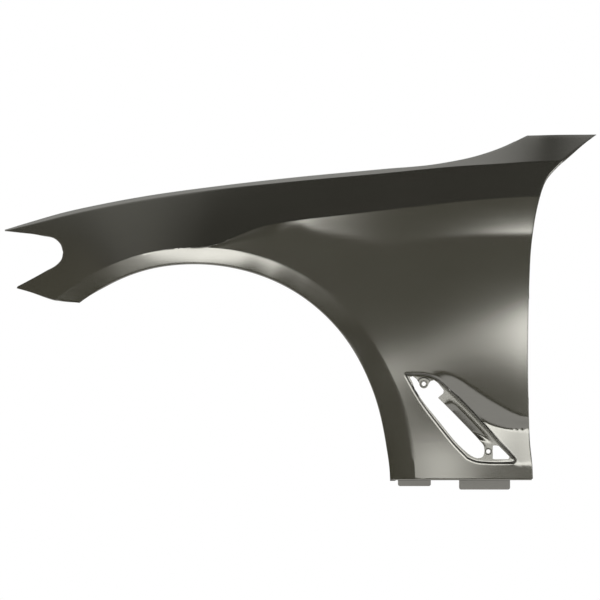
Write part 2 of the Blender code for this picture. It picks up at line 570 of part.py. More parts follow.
def fold_edges(sheet, lines):
    """Add every turned edge to the sheet. Each line runs with the sheet on its left."""
    top = lines["top"]
    on = (top[:, 0] > BONNET_START - 0.1) & (top[:, 0] < BONNET_END)
    sheet.add(bonnet_flange(top[on][::-1]).transpose(1, 0, 2), True)
    cowl = top[top[:, 0] > TOP_EDGE[-1][0] - 0.1][:-1]
    sheet.add(lip(cowl[::-1], COWL_LIP, 120.0).transpose(1, 0, 2), True)
    door = np.vstack([lines["rear_door"], lines["lower_door"][1:], lines["upper_end"][1:], lines["strip_end"][1:-1]])
    sheet.add(door_hem(door).transpose(1, 0, 2), True)
    sill = np.vstack([lines["heel"][::-1], lines["sill"][1:]])
    shelf = sill_shelf(sill)
    sheet.add(shelf.transpose(1, 0, 2), True)
    for a, b, drop in SILL_TABS:
        edge = shelf[-1][(sill[:, 0] > a - 0.1) & (sill[:, 0] < b + 0.1)]
        middle = (edge[0, 0] + edge[-1, 0]) / 2
        rows = [edge]
        for down, narrow in ((0.0, 0.0), (0.85, 0.0), (1.0, 2.0)):
            row = edge.copy()
            row[:, 0] += np.where(row[:, 0] < middle, 1, -1) * narrow * (abs(row[:, 0] - middle) > (b - a) / 2 - 1)
            row[:, 1] += FOLD_RADIUS
            row[:, 2] = SILL - FOLD_RADIUS * 2 - (drop - FOLD_RADIUS * 1.5) * down
            rows.append(row)
        sheet.add(np.array(rows).transpose(1, 0, 2), True)
    sheet.add(lip(lines["arch"][1:-1], ARCH_LIP).transpose(1, 0, 2), True)
    front = np.vstack([lines["front"][:-1][::-1], lines["under"][::-1][1:]])
    keep = front[:, 0] > FRONT_EDGE[0][0] + TIP_RELIEF
    sheet.add(lip(front[keep][::-1], FRONT_LIP).transpose(1, 0, 2), True)
    notch = lines["notch"]
    keep = notch[:, 0] > FRONT_EDGE[0][0] + TIP_RELIEF
    sheet.add(lip(notch[keep], FRONT_LIP).transpose(1, 0, 2), True)


def vent_floor(places):
    """Flat floor of the vent, set below the skin by its front and rear depths."""
    anchors = np.array([VENT_FRONT[0], VENT_FRONT[-1], VENT_REAR[0]], float)
    depth = np.array([VENT_DEPTH_FRONT, VENT_DEPTH_FRONT, VENT_DEPTH_REAR])
    plane = np.linalg.solve(np.column_stack([anchors, np.ones(3)]), skin_y(anchors) + depth)
    return places[..., 0] * plane[0] + places[..., 1] * plane[1] + plane[2]


def inset(sides, by):
    """The closed outline of four sides moved inwards, each side keeping its count of points."""
    corners = []
    for before, after in zip([sides[-1], *sides[:-1]], sides):
        back, on = before[-2] - before[-1], after[1] - after[0]
        back, on = back / np.linalg.norm(back), on / np.linalg.norm(on)
        half = math.acos(float(np.clip(back @ on, -1, 1))) / 2
        middle = back + on
        corners.append(after[0] + middle / np.linalg.norm(middle) * by / math.sin(half))
    moved = []
    for side, a, b in zip(sides, corners, [*corners[1:], corners[0]]):
        line = side - outward(side)[:, [0, 1]] * by
        along = (line - a) @ (b - a) / np.linalg.norm(b - a)
        kept = line[(along > 1) & (along < np.linalg.norm(b - a) - 1)]
        line = np.vstack([a, kept, b])
        run = np.concatenate([[0], np.cumsum(np.linalg.norm(np.diff(line, axis=0), axis=1))])
        want = np.linspace(0, run[-1], len(side))
        moved.append(np.column_stack([np.interp(want, run, line[:, 0]), np.interp(want, run, line[:, 1])]))
    return moved


def sink_vent(sheet, lines):
    """Walls from the vent outline down to the floor, the floor in to the slot, and the slot's flange."""
    upper, front, lower, rear = lines["vent"]
    sides = [front, lower, rear, upper[::-1]]
    join = lambda parts: np.vstack([parts[0], *[part[1:] for part in parts[1:]]])
    ring = join(sides)
    slot = join([path(line, len(side) - 1) for line, side in
                 zip((SLOT_FRONT, SLOT_LOWER, SLOT_REAR, SLOT_UPPER), sides)])
    first = np.arctan2(skin_y(join(inset(sides, 1.0))) - skin_y(ring), 1.0)
    rows = []
    for k in range(FOLD_STEPS + 1):
        a = first + (np.radians(84.0) - first) * k / FOLD_STEPS
        out = VENT_ROLL * float(np.mean(np.sin(a) - np.sin(first)))
        line = join(inset(sides, out)) if k else ring
        y = skin_y(ring) + VENT_ROLL * (np.cos(first) - np.cos(a))
        rows.append(np.column_stack([line[:, 0], y, line[:, 1]]))
    foot = join(inset(sides, out + VENT_DRAFT))
    start = len(front) + len(lower) - 2
    along = np.clip((np.arange(len(ring)) - start) / (len(rear) - 1), 0, 1)
    ramp = RAMP_DROP * ease((along - RAMP_STARTS[0]) / (RAMP_STARTS[1] - RAMP_STARTS[0]))
    ramp *= ease((RAMP_ENDS[1] - along) / (RAMP_ENDS[1] - RAMP_ENDS[0]))
    for t, sunk in ((0.0, 0.0), (LEDGE_SHARE, 0.0), (1.0, 1.0)):
        row = foot * (1 - t) + slot * t
        rows.append(np.column_stack([row[:, 0], vent_floor(row) + ramp * sunk, row[:, 1]]))
    sheet.add(np.array(rows).transpose(1, 0, 2))
    edge = rows[-1][start:start + len(rear)]
    drop = np.zeros_like(edge)
    drop[:, 1] = SLOT_FLANGE * run_out(edge, 0.75)
    sheet.add(np.array([edge, edge + drop]).transpose(1, 0, 2))


def pierce():
    """Every punched hole, as one mesh of separate closed prisms."""
    pieces = []
    up, out, back = (0, 0, 1), (0, 1, 0), (1, 0, 0)
    for x in PAD_STATIONS:
        place = pad_centre(x)
        pieces.append(obround(place, up, back, PAD_SLOT_WIDTH, PAD_SLOT_LENGTH, 4))
    for z in HINGE_TAB_HEIGHTS:
        edge = np.array([float(curve(DOOR_EDGE, z)), z])
        place = (edge[0] + FOLD_RADIUS, float(skin_y(edge)) + DOOR_HEM + HINGE_TAB * 0.35, z)
        pieces.append(obround(place, back, out, HINGE_BOLT, HINGE_BOLT, 6))
    for a in LINER_ANGLES:
        edge = arch_point(a)
        ray = np.array([math.sin(math.radians(a)), 0, math.cos(math.radians(a))])
        place = (edge[0], float(skin_y(edge)) + FOLD_RADIUS + ARCH_LIP * 0.45, edge[1])
        pieces.append(obround(place, ray, out, LINER_SCREW, LINER_SCREW, 6))
    for place in (CLIP_TAB, STRAP_HOLE):
        at = np.array(place)
        pieces.append(obround((at[0], float(vent_floor(at)), at[1]), out, back, CLIP_HOLE, CLIP_HOLE, 8))
    arc = [(CLIP_TAB[0] + CLIP_TAB_RADIUS * math.cos(a), CLIP_TAB[1] + CLIP_TAB_RADIUS * math.sin(a))
           for a in np.radians(np.linspace(175, 355, 8))]
    pieces.append(side_prism([*WINDOW, *arc, *WINDOW_END], float(vent_floor(np.array(CLIP_TAB))), 9))
    pieces.append(side_prism(CORNER_HOLE, float(vent_floor(np.array(STRAP_HOLE))), 9))
    points, faces = [], []
    for p, f in pieces:
        faces += [[v + len(points) for v in face] for face in f]
        points += [tuple(v) for v in p]
    return points, faces


def pad_centre(x):
    """Middle of the bolt pad's slot at a station of the bonnet edge."""
    line = np.array([[x + 1.0, float(curve(TOP_EDGE, x + 1.0))], [x, float(curve(TOP_EDGE, x))],
                     [x - 1.0, float(curve(TOP_EDGE, x - 1.0))]])
    rows, _ = fold(line, 176.0)
    return np.array([x, rows[-1][1, 1] + 1.0 + BONNET_SHELF * 0.55, float(curve(TOP_EDGE, x)) - BONNET_WALL])


def pad_seat(x):
    """Bearing point under a bolt pad, behind its slot, where the pad rests on the wing rail."""
    return pad_centre(x) + np.array([PAD_SEAT, 0, -SHEET])


def finish_material():
    material = bpy.data.materials.new("dark_primer")
    material.use_nodes = True
    shader = material.node_tree.nodes["Principled BSDF"]
    shader.inputs["Base Color"].default_value = FINISH
    shader.inputs["Metallic"].default_value = FINISH_METALLIC
    shader.inputs["Roughness"].default_value = FINISH_ROUGHNESS
    material.diffuse_color = FINISH
    return material


def main():
    for obj in list(bpy.data.objects):
        bpy.data.objects.remove(obj, do_unlink=True)
    sheet = Sheet()
    lines = draw_skin(sheet)
    fold_edges(sheet, lines)
    sink_vent(sheet, lines)
    origin = pad_seat(PAD_STATIONS[2])
    panel = mesh_object("fender_panel", np.array(sheet.points) - origin, sheet.faces)
    panel.data.materials.append(finish_material())
    panel.data.shade_smooth()
    solid = panel.modifiers.new("sheet thickness", "SOLIDIFY")
    solid.thickness = SHEET * 0.001
    solid.offset = -1.0
    solid.use_even_offset = True
    points, faces = pierce()
    cutter = mesh_object("pierced_holes", np.array(points) - origin, faces)
    cutter.hide_render = True
    cutter.display_type = "WIRE"
    holes = panel.modifiers.new("holes", "BOOLEAN")
    holes.object = cutter
    holes.operation = "DIFFERENCE"
    holes.solver = "EXACT"


main()
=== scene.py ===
import math
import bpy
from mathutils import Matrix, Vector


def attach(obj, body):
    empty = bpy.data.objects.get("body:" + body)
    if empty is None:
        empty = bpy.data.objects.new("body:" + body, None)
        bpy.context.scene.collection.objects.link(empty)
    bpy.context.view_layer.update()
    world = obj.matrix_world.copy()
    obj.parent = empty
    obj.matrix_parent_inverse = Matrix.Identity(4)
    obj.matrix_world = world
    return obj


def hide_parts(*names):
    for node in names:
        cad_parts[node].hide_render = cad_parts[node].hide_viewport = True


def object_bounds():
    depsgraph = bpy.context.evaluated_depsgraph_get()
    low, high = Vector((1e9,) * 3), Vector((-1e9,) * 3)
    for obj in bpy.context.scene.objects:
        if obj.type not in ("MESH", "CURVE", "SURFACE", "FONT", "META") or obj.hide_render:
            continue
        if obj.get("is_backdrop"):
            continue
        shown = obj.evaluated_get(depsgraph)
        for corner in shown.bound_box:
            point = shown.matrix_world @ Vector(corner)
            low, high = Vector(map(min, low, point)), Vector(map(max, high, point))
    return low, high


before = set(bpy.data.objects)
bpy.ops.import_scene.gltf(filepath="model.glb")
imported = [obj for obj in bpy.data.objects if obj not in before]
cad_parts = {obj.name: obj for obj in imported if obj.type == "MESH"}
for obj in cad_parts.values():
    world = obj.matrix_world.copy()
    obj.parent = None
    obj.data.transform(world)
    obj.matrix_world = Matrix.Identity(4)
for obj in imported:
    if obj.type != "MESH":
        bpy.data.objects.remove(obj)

from types import SimpleNamespace

import bpy
import numpy as np
from bpy.props import FloatProperty, FloatVectorProperty, IntProperty, PointerProperty
from bpy.types import Operator, Panel, PropertyGroup

bl_info = {
    "name": "Front wing panel",
    "version": (1, 0, 0),
    "blender": (4, 5, 0),
    "location": "3D View > Sidebar > Wing panel",
    "description": "Draws a pressed aluminium front wing panel in dark primer, and the studio round it",
    "category": "Object",
}

# ---------------------------------------------------------------------------------------------
# Side view of the panel, in millimetres about the wheel centre: x rearwards, z up
# ---------------------------------------------------------------------------------------------
TOP_EDGE = ((-361, 430), (-309, 445.5), (-257, 460.5), (-181, 477.5), (-106, 491.5), (44, 512.5),
            (195, 529.5), (345, 543.5), (458, 554.5), (533, 570.5), (571, 583.5), (621, 607))
PILLAR_TIP = (751.0, 609.0)
PILLAR_BEND = 560.0
BONNET_CREASE = ((-361, 428), (-308, 441), (-250, 456), (-182, 471), (-88, 488), (0, 501), (194, 522),
                 (344, 535.5), (494, 549.5), (570, 554), (626, 557.5), (690, 560))
SHOULDER = ((-251, 388), (-180, 395), (-100, 397.4), (-30, 397), (0, 397), (20, 398), (40, 403.4), (80, 420),
            (120, 435), (152, 441.5), (194, 448), (231, 452.5), (269, 456.8), (306, 460.8), (344, 465.5), (382, 470),
            (419, 474), (494, 482.5), (570, 489), (650, 493))
CHANNEL = ((0, 390), (80, 402), (120, 412), (145, 420), (165, 432), (194, 437.5), (212, 431), (232, 425), (269, 418),
           (306, 411), (344, 404), (382, 406), (419, 412), (494, 418), (570, 420), (650, 421))
NOTCH = ((-361, 428), (-325, 424), (-292, 420.5), (-266, 415.5), (-255, 404), (-250.5, 388),
         (-253.5, 374.5), (-263, 363.5), (-284, 351.5), (-310, 337.5), (-337, 323.5))
NOTCH_NOSE = 5
FRONT_EDGE = ((-338.5, 320), (-313, 313), (-283, 304), (-253, 296.5), (-219, 292.5))
DOOR_EDGE = ((-38.5, 629.5), (-14, 628.5), (30, 624), (96, 621.5), (235, 620.5), (318, 622.5), (407, 627.5),
             (460, 635.5), (486, 641.5), (505, 646.5), (527, 656.5), (550, 676.5), (572, 701.5), (609, 751))
WAIST = ((420, 226), (520, 236))
WAIST_DOOR = 235.0
SPLIT_ARCH = 38.0
SPLIT_REAR = 58.0
SILL = -38.5

# Wheel arch: (degrees from straight up, radius) and (degrees, width of the lip band)
ARCH_CENTRE = (-5.6, 0.0)
ARCH = ((-38, 362.5), (-26, 365.5), (-15, 367.5), (0, 367.5), (14, 368), (29, 368.4), (47, 366.3),
        (69, 361.4), (84, 362.8), (97, 371.5))
ARCH_BAND = ((-38, 33), (-15, 28.5), (-6, 28.6), (3, 29.2), (17, 32), (30, 34), (50, 36.5), (66, 41), (75, 45),
             (97, 48))

# Vent outline and slot, each as a front, lower, rear and upper side
VENT_FRONT = ((390, 157.5), (419, 107), (457, 56.5), (485, 22.5), (508, -1))
VENT_LOWER = ((508, -1), (524, -7.5), (545, -9.8), (575, -10.3), (597, -9.3))
VENT_REAR = ((601.5, -1.5), (570, 34), (513, 95), (464.5, 143))
VENT_UPPER = ((464.5, 143), (451, 152.8), (436, 158.5), (415, 161), (394, 160.6))
SLOT_FRONT = ((405, 146), (409, 132), (419.5, 115.5), (457, 67.5), (494.5, 23), (510, 9))
SLOT_LOWER = ((510, 9), (519, 3.4), (529, 0.6), (537, 3), (541, 14))
SLOT_REAR = ((541, 14), (539.5, 24), (532, 34), (494.5, 75), (453, 114.5))
SLOT_UPPER = ((453, 114.5), (433, 123.5), (420, 130), (412, 139), (405, 146))
WINDOW = ((400.5, 152.5), (406, 154.5), (413, 149))
WINDOW_END = ((439, 145), (446, 147), (453.5, 141.5), (464, 128.5), (463.5, 122.5), (457, 117.5), (452, 112),
              (440, 104), (414, 126))
CORNER_HOLE = ((556.5, 24.5), (567, 24), (588, 3), (586, -1.5), (556.5, -1.5))
CLIP_TAB = (426.8, 140.1)
STRAP_HOLE = (548.0, 13.2)

# Flanges along the edges. A run-out is how far a flange takes to reach its full width from an end, where it has
# only a share of it. Turns and leans are in degrees.
PAD_STATIONS = (-250.0, -88.0, 100.0, 288.0, 476.0)
BONNET_START = -338.0
BONNET_END = 604.0
SILL_TABS = ((378.0, 440.0, 12.5), (493.0, 589.0, 19.0))
HINGE_TAB_HEIGHTS = (318.0, 96.0)
LINER_ANGLES = (-26.0, -4.0, 18.0, 40.0, 62.0, 84.0)
TIP_RELIEF = 16.0
TAB_LEAN = 8.0
PAD_TAPER = 22.0
LIP_RUN_OUT = 60.0
LIP_END = 0.25
FOLD_END = 0.12
CORNER = 4.0
BONNET_TURN = 176.0
COWL_TURN = 120.0
LEAST_WALL = 1.5
LEAST_SHELF = 5.0
SHELF_GROWTH = 4.0
WALL_DRAFT = 1.0

# Holes in the flanges, as shares of the flange's width, then how far each punch reaches either way
SLOT_SHARE = 0.55
HINGE_BOLT_SHARE = 0.35
SCREW_SHARE = 0.45
PAD_PUNCH = 4.0
FLANGE_PUNCH = 6.0
CLIP_PUNCH = 8.0
WINDOW_PUNCH = 9.0
HOLE_CORNER = 2.5

# Vent: degrees that its rim and the slot's flange are turned through, and the lean of the skin at the rim
VENT_TURN = 84.0
SLOT_TURN = 80.0
RIM_LEAN = 14.0
CLIP_TAB_ARC = (175.0, 355.0)

# The vent floor's rear side keeps a ledge along its wall, then slopes inboard to the slot: the ledge's share of
# the floor's width, the shares of the width that get a row of points, and the shares of the rear side between
# which the slope's drop starts and ends
LEDGE_SHARE = 0.45
FLOOR_ROWS = (0.2, LEDGE_SHARE - 0.06, LEDGE_SHARE + 0.03, LEDGE_SHARE + 0.12, 0.7, 0.85, 1.0)
RAMP_STARTS = (0.16, 0.34)
RAMP_ENDS = (0.66, 0.88)

# Bosses pressed round the vent's holes: their height, then each one's hole and the radii of its top and its foot
BOSS_RISE = 2.0
BOSSES = ((CLIP_TAB, 5.2, 7.0), (CLIP_TAB, 10.5, 13.5), (STRAP_HOLE, 5.0, 6.6))

# Counts of grid steps where the pitch doesn't set them, and how much the steps shrink towards an end
STRIP_ROWS = 12
UPPER_ROWS = 26
FLANK_ROWS = 30
VENT_ROWS = 30
PRONG_COLUMNS = 24
TAB_GAP = 20.0
FINER = 0.8

# Leans of the outer skin in degrees from upright, tipping back at the top, as stations of (x, lean).
# The crown is the lean that the upper body gains from the shoulder up to the bonnet crease, the swell
# is the flank's bulge at its own height, and the band's roll is the lean it loses across its width.
BONNET_PLAN = ((-361, -133), (-180, -85), (0, -55), (200, -33.5), (400, -16.5), (690, -2))
STRIP_TILT = ((-361, 62), (400, 62), (480, 59), (560, 54), (600, 51), (626, 48.5), (660, 45), (700, 47.5), (751, 51))
UPPER_TILT = ((-361, 34), (-250, 36.5), (-150, 40.5), (0, 40.5), (70, 38), (130, 36.5), (200, 35.2), (344, 34),
              (494, 32.8), (626, 31.5), (751, 31.5))
UPPER_CROWN = ((-361, 5), (-250, 4), (-180, 3), (0, 4), (200, 2), (626, 0), (751, 0))
SHOULDER_START = 16.0
SHOULDER_RUN = 32.0
SHOULDER_BLEND = 0.25
SHELF_FADE = 0.35
SHELF_TILT = ((-361, -6), (80, -6.5), (120, -6), (142, -3.5), (165, 2), (180, 4.5), (194, 6.2), (212, 6), (232, 5.2),
              (269, 4.2), (306, 3), (344, 1.5), (382, 0.6), (419, 0.3), (751, 0.3))
COVE_POWER = ((-361, 1.6), (150, 1.6), (200, 2.2), (400, 2.2), (480, 1.5), (751, 1.5))
COVE_TILT = ((-361, 4), (120, 4), (150, 2), (194, 2), (212, 2.6), (232, 2.5), (269, 2.2), (306, 1.6), (344, 0.9),
             (382, 0.7), (419, 1.5), (494, 4.2), (570, 7), (626, 8.4), (751, 8.6))
FLANK_TILT = ((-361, 5.5), (0, 4.5), (200, 4.5), (344, 4.2), (751, 4.1))
SWELL_TILT = ((-361, 0), (150, 0.5), (250, 3), (344, 5.5), (419, 4.9), (494, 4.9), (570, 6.4), (626, 8.3), (751, 8.5))
SWELL_HEIGHT = ((-361, 146), (344, 151), (419, 178), (494, 217), (570, 236), (626, 243), (751, 243))
SWELL_REACH = 80.0
SWELL_FALL = ((-361, 76), (300, 80), (380, 98), (440, 97), (494, 92), (570, 103), (626, 118), (751, 118))
FOOT_TILT = ((-361, 5), (300, 5.4), (380, 5.5), (415, 5.7), (440, 6.3), (470, 6.5), (500, 5.9), (560, 4), (751, 3))
FOOT_TOP = 140.0
FOOT_RUN = 150.0
BAND_TILT = ((-50, 11), (-30, 11), (-22, 11), (-15, 11.6), (-10, 13), (-5, 13.9), (3, 14.5), (10, 14.9), (13, 14),
             (18, 11.3), (23, 9.1), (27, 7.1), (31, 4.9), (40, 2.9), (48, 0.8), (62, -8), (75, -12.8), (84, -16.4),
             (90, -19.5), (100, -23))
BAND_ROLL = ((-50, 0), (-22, 0.5), (-15, 1.2), (-10, 4.5), (3, 7), (10, 7), (14, 5), (18, 4.5), (23, 3), (31, 2),
             (40, 1.5), (60, 0), (100, 0))
CREASE_BLEND = 1.0
CHANNEL_BLEND = 9.0

# Flow-out behind the vent
RIDGE_UPPER = ((452, 166), (466, 164.5), (485, 156), (532, 126), (570, 101.5), (598, 84.6), (640, 77))
RIDGE_LOWER = ((452, 142), (466, 128), (485, 115), (504, 98), (536, 71.4), (551, 63), (570, 57.3), (640, 54))
RIDGE_STEP = 14.0
SILL_STEP = 1.5
RIDGE_START = ((-60, 520), (0, 520), (60, 464), (110, 434), (150, 440), (200, 440))
RIDGE_RUN = 60.0
SILL_CREASE = -11.0

# Photograph's frame, in metres: centre of the view, its width and how far in front of the panel the camera stands
VIEW_CENTRE = (0.0825, -0.2072)
VIEW_WIDTH = 1.128
CAMERA_BACK = 3.0

# Coat: shares of cloud and streak on each face, scale of the streaks, their share of the relief and the relief's
# strength. Edges past the sharp angle, in degrees, aren't shaded smooth.
UNEVEN_OUTSIDE = (0.08, 0.10)
UNEVEN_INSIDE = (0.16, 0.06)
STREAK_SCALE = (6.0, 60.0, 420.0)
STREAK_HEIGHT = 0.6
PEEL_STRENGTH = 0.35
SHARP_ANGLE = 17.0

# Floor, in metres: how far it lies below the panel and its half width, then how it shows to the camera
FLOOR_DROP = 0.24
FLOOR_HALF = 6.0
FLOOR_GLOW = (1.0, 0.99, 0.97, 1.0)
FLOOR_SHARE = 0.85

# Studio by direction, in degrees. A card is its colour, then its start, end and softness in height and to the side.
# The ground and the rear fade in or out between two heights.
NOSE_CARD = ((1.0, 1.0, 0.93), (74, 120, 8), (-29, -16.5, 5))
CHIN_CARD = ((1.0, 0.93, 0.68), (50, 120, 8), (-75, -33, 4))
LAMP_CARD = ((1.0, 1.0, 0.985), (22, 40, 3), (-31, 52, 7))
ROOM_COLOUR = (1.0, 0.95, 0.55)
WARM_COLOUR = (0.040, 0.034, 0.002)
WARM_HEIGHT = (-6, 45, 20)
GROUND_COLOUR = (1.0, 0.985, 0.94)
GROUND_FAR = (-136, -124)
GROUND_NEAR = (-46, -4)
REAR_COLOUR = (1.0, 1.0, 1.0)
REAR_TOP = (84, 114)
REAR_FOOT = (-125, -140)


# ---------------------------------------------------------------------------------------------
# Sizes and colours
# ---------------------------------------------------------------------------------------------
def length(name, description, millimetres):
    """Property that is a length, kept in metres."""
    return FloatProperty(name=name, description=description, default=millimetres / 1000, min=0.0, unit="LENGTH",
                         precision=4)


def factor(name, description, value):
    """Property from 0 to 1."""
    return FloatProperty(name=name, description=description, default=value, min=0, max=1, subtype="FACTOR")


def level(name, description, value):
    """Property that is 0 or more."""
    return FloatProperty(name=name, description=description, default=value, min=0)


def paint(name, description, value):
    """Property that is a colour."""
    return FloatVectorProperty(name=name, description=description, default=value, min=0, max=1, size=3,
                               subtype="COLOR")


class WingSizes(PropertyGroup):
    """Sizes of the sheet, its flanges and its holes."""
    sheet: length("Sheet", "Thickness of the aluminium sheet", 1.2)
    fold: length("Fold radius", "Outer radius of the folded edges", 2.2)
    bend: length("Bend radius", "Radius where a wall meets a shelf or the vent floor", 1.6)
    pitch: length("Grid pitch", "Largest step between the grid lines of the surface", 5.3)
    bonnet_wall: length("Bonnet wall", "Height of the wall under the bonnet shut line", 13)
    bonnet_shelf: length("Bolt pad width", "Width of the bonnet shelf at a bolt pad", 27)
    bonnet_web: length("Shelf width", "Width of the bonnet shelf between the pads", 14)
    pad_length: length("Bolt pad length", "Length of a flat bolt pad", 34)
    pad_slot_width: length("Pad slot width", "Width of the slot in a bolt pad", 7)
    pad_slot_length: length("Pad slot length", "Length of the slot in a bolt pad", 12)
    pad_seat: length("Pad seat", "Distance from the slot to the seat point behind it", 11.5)
    cowl_lip: length("Cowl lip", "Width of the lip on the pillar's top edge", 8)
    door_hem: length("Door hem", "Width of the turned-in door edge", 13)
    hinge_tab: length("Hinge tab", "How far a hinge-pillar tab stands past the hem", 15)
    hinge_tab_length: length("Hinge tab length", "Length of a hinge-pillar tab", 36)
    hinge_bolt: length("Hinge bolt hole", "Diameter of the hole in a hinge-pillar tab", 9)
    arch_lip: length("Arch lip", "Width of the turned-in wheel arch edge", 12)
    liner_screw: length("Liner screw hole", "Diameter of the holes in the arch lip", 5.5)
    front_lip: length("Front lip", "Width of the lip round the lamp notch", 8)
    sill_shelf: length("Sill shelf", "Depth of the shelf under the bottom edge", 16)
    vent_front: length("Vent depth, front", "Depth of the vent floor at its front side", 9)
    vent_rear: length("Vent depth, rear", "Depth of the vent floor at its rear corner", 15)
    vent_draft: length("Vent draft", "How far the vent wall leans in towards its foot", 1)
    rim: length("Vent rim", "Width over which the skin leans in towards the side vent", 2.6)
    vent_roll: length("Vent roll", "Outer radius of the vent's rolled rim", 2.2)
    ramp_drop: length("Ramp drop", "How far the floor slopes inboard at the slot's rear side", 10)
    slot_flange: length("Slot flange", "Width of the flange on the rear side of the vent slot", 4)
    clip_hole: length("Clip hole", "Diameter of the two clip holes in the vent floor", 7.4)
    clip_tab_radius: length("Clip tab radius", "Radius of the tab that carries the upper clip", 8.6)


class WingFinish(PropertyGroup):
    """Colours and surface values of the dark primer."""
    outer: paint("Primer", "Colour of the primer on the outer skin", (0.205, 0.202, 0.188))
    inner: paint("Primer inside", "Colour of the primer on the inner face", (0.135, 0.132, 0.122))
    metal: factor("Metal", "How metallic the coat looks", 0.9)
    rough: factor("Roughness", "Roughness of the outer skin", 0.22)
    rough_inside: factor("Roughness inside", "Roughness of the inner face", 0.46)
    peel: length("Peel", "Height of the fine waves in the coat", 0.02)


class StudioLook(PropertyGroup):
    """Levels and colours of the studio."""
    floor: paint("Floor", "Colour of the floor", (0.80, 0.79, 0.77))
    room: level("Room", "Level of the unlit part of the studio", 0.035)
    fill: level("Fill", "Level of the dim card over the nose", 0.24)
    chin: level("Chin", "Level of the faint card in front of the nose", 0.14)
    lamp: level("Lamp", "Level of the long soft lamp in front", 4.8)
    bounce: level("Bounce", "Level of the light that the floor throws back", 1.12)
    backdrop: level("Backdrop", "Level of the backdrop behind the panel", 0.85)
    samples: IntProperty(name="Light map", description="Size of the map that samples the studio", default=1024,
                         min=64)


def in_mm(group):
    """The lengths of a property group, in millimetres."""
    return SimpleNamespace(**{name: getattr(group, name) * 1000 for name in group.__annotations__})


# ---------------------------------------------------------------------------------------------
# Lines and the outer skin
# ---------------------------------------------------------------------------------------------
def curve(stations, at):
    """Cubic through (place, value) stations with the slopes of its neighbours, straight beyond the ends."""
    place, value = np.array(stations, float).T
    slope = np.gradient(value, place)
    at = np.asarray(at, float)
    i = np.clip(np.searchsorted(place, at) - 1, 0, len(place) - 2)
    span = place[i + 1] - place[i]
    t = np.clip((at - place[i]) / span, 0, 1)
    inside = (value[i] * (1 + 2 * t) * (1 - t) ** 2 + span * slope[i] * t * (1 - t) ** 2
              + value[i + 1] * t * t * (3 - 2 * t) + span * slope[i + 1] * t * t * (t - 1))
    return inside + slope[0] * np.minimum(at - place[0], 0) + slope[-1] * np.maximum(at - place[-1], 0)


def ease(t):
    """0 up to t = 0 and 1 from t = 1, by 3 t squared less 2 t cubed."""
    t = np.clip(t, 0, 1)
    return t * t * (3 - 2 * t)


def below(line, z, blend):
    """0 above a line and 1 below it, changing over the blend width."""
    return ease((line - z) / blend + 0.5)


def fine_end(count, side):
    """Shares from 0 to 1 whose steps shrink towards one end, -1 for the start: t plus 0.8 side sin(pi t) / pi."""
    t = np.linspace(0, 1, count + 1)
    return t + side * FINER * np.sin(np.pi * t) / np.pi


def read(x, z, run, want):
    """Points of a side-view line at the wanted distances, where run is the distance along it at each x and z."""
    return np.column_stack([np.interp(want, run, x), np.interp(want, run, z)])


def path(points, shares):
    """Smooth line through side-view points, read at shares of its length."""
    points = np.array(points, float)
    chord = np.concatenate([[0], np.cumsum(np.hypot(*np.diff(points, axis=0).T))])
    fine = np.linspace(0, chord[-1], 1200)
    x = curve(np.column_stack([chord, points[:, 0]]), fine)
    z = curve(np.column_stack([chord, points[:, 1]]), fine)
    run = np.concatenate([[0], np.cumsum(np.hypot(np.diff(x), np.diff(z)))])
    return read(x, z, run, shares * run[-1])


def stations(knots, pitch):
    """Places from the first knot to the last that keep every knot and are at most a pitch apart."""
    steps = [max(1, math.ceil(abs(b - a) / pitch - 1e-6)) for a, b in zip(knots[:-1], knots[1:])]
    runs = [np.linspace(a, b, n + 1)[1:] for a, b, n in zip(knots[:-1], knots[1:], steps)]
    return np.concatenate([[knots[0]], *runs])


def tilt(x, z):
    """Lean of the outer skin in degrees.

    It is the strip's lean above the bonnet crease, the upper body's lean with its crown down to the
    shoulder, the hollow's down to the channel, and the flank's with its swell and foot below that.
    """
    crease, shoulder, channel = curve(BONNET_CREASE, x), curve(SHOULDER, x), curve(CHANNEL, x)
    up = np.clip((z - shoulder) / np.maximum(crease - shoulder, 1), -1, 1)
    down = np.clip((shoulder - z) / np.maximum(shoulder - channel, 1), 0, 1)
    plain = curve(FLANK_TILT, x)
    hollow = (plain + curve(SHELF_TILT, x) * (1 - SHELF_FADE * down)
              + curve(COVE_TILT, x) * down ** curve(COVE_POWER, x))
    over = z - curve(SWELL_HEIGHT, x)
    swell = curve(SWELL_TILT, x) * np.exp(-(over / np.where(over > 0, SWELL_REACH, curve(SWELL_FALL, x))) ** 2)
    flank = plain + swell + curve(FOOT_TILT, x) * ease((FOOT_TOP - z) / FOOT_RUN)
    side = hollow + (flank - hollow) * below(channel, z, CHANNEL_BLEND)
    step = below(shoulder, z, SHOULDER_BLEND) * ease((x - SHOULDER_START) / SHOULDER_RUN + 0.5)
    upper = curve(UPPER_TILT, x) + curve(UPPER_CROWN, x) * (up - 0.5)
    body = upper * (1 - step) + side * step
    strip = curve(STRIP_TILT, x)
    return strip + (body - strip) * below(crease, z, CREASE_BLEND)


def sum_skin():
    """How far the skin stands out, on a grid: the tangent of the lean, summed down from the bonnet crease."""
    margin, dx, dz = 24.0, 2.0, 0.125
    xs = np.arange(BONNET_CREASE[0][0] - margin, PILLAR_TIP[0] + margin, dx)
    zs = np.arange(SILL - margin, PILLAR_TIP[1] + margin, dz)
    rise = np.tan(np.radians(tilt(xs[:, None], zs[None, :]))) * dz
    run = np.concatenate([np.zeros((len(xs), 1)), np.cumsum((rise[:, 1:] + rise[:, :-1]) / 2, axis=1)], axis=1)
    at_crease = np.array([np.interp(c, zs, r) for c, r in zip(curve(BONNET_CREASE, xs), run)])
    return xs, zs, (curve(BONNET_PLAN, xs) + at_crease)[:, None] - run


SKIN_X, SKIN_Z, SKIN_OUT = sum_skin()


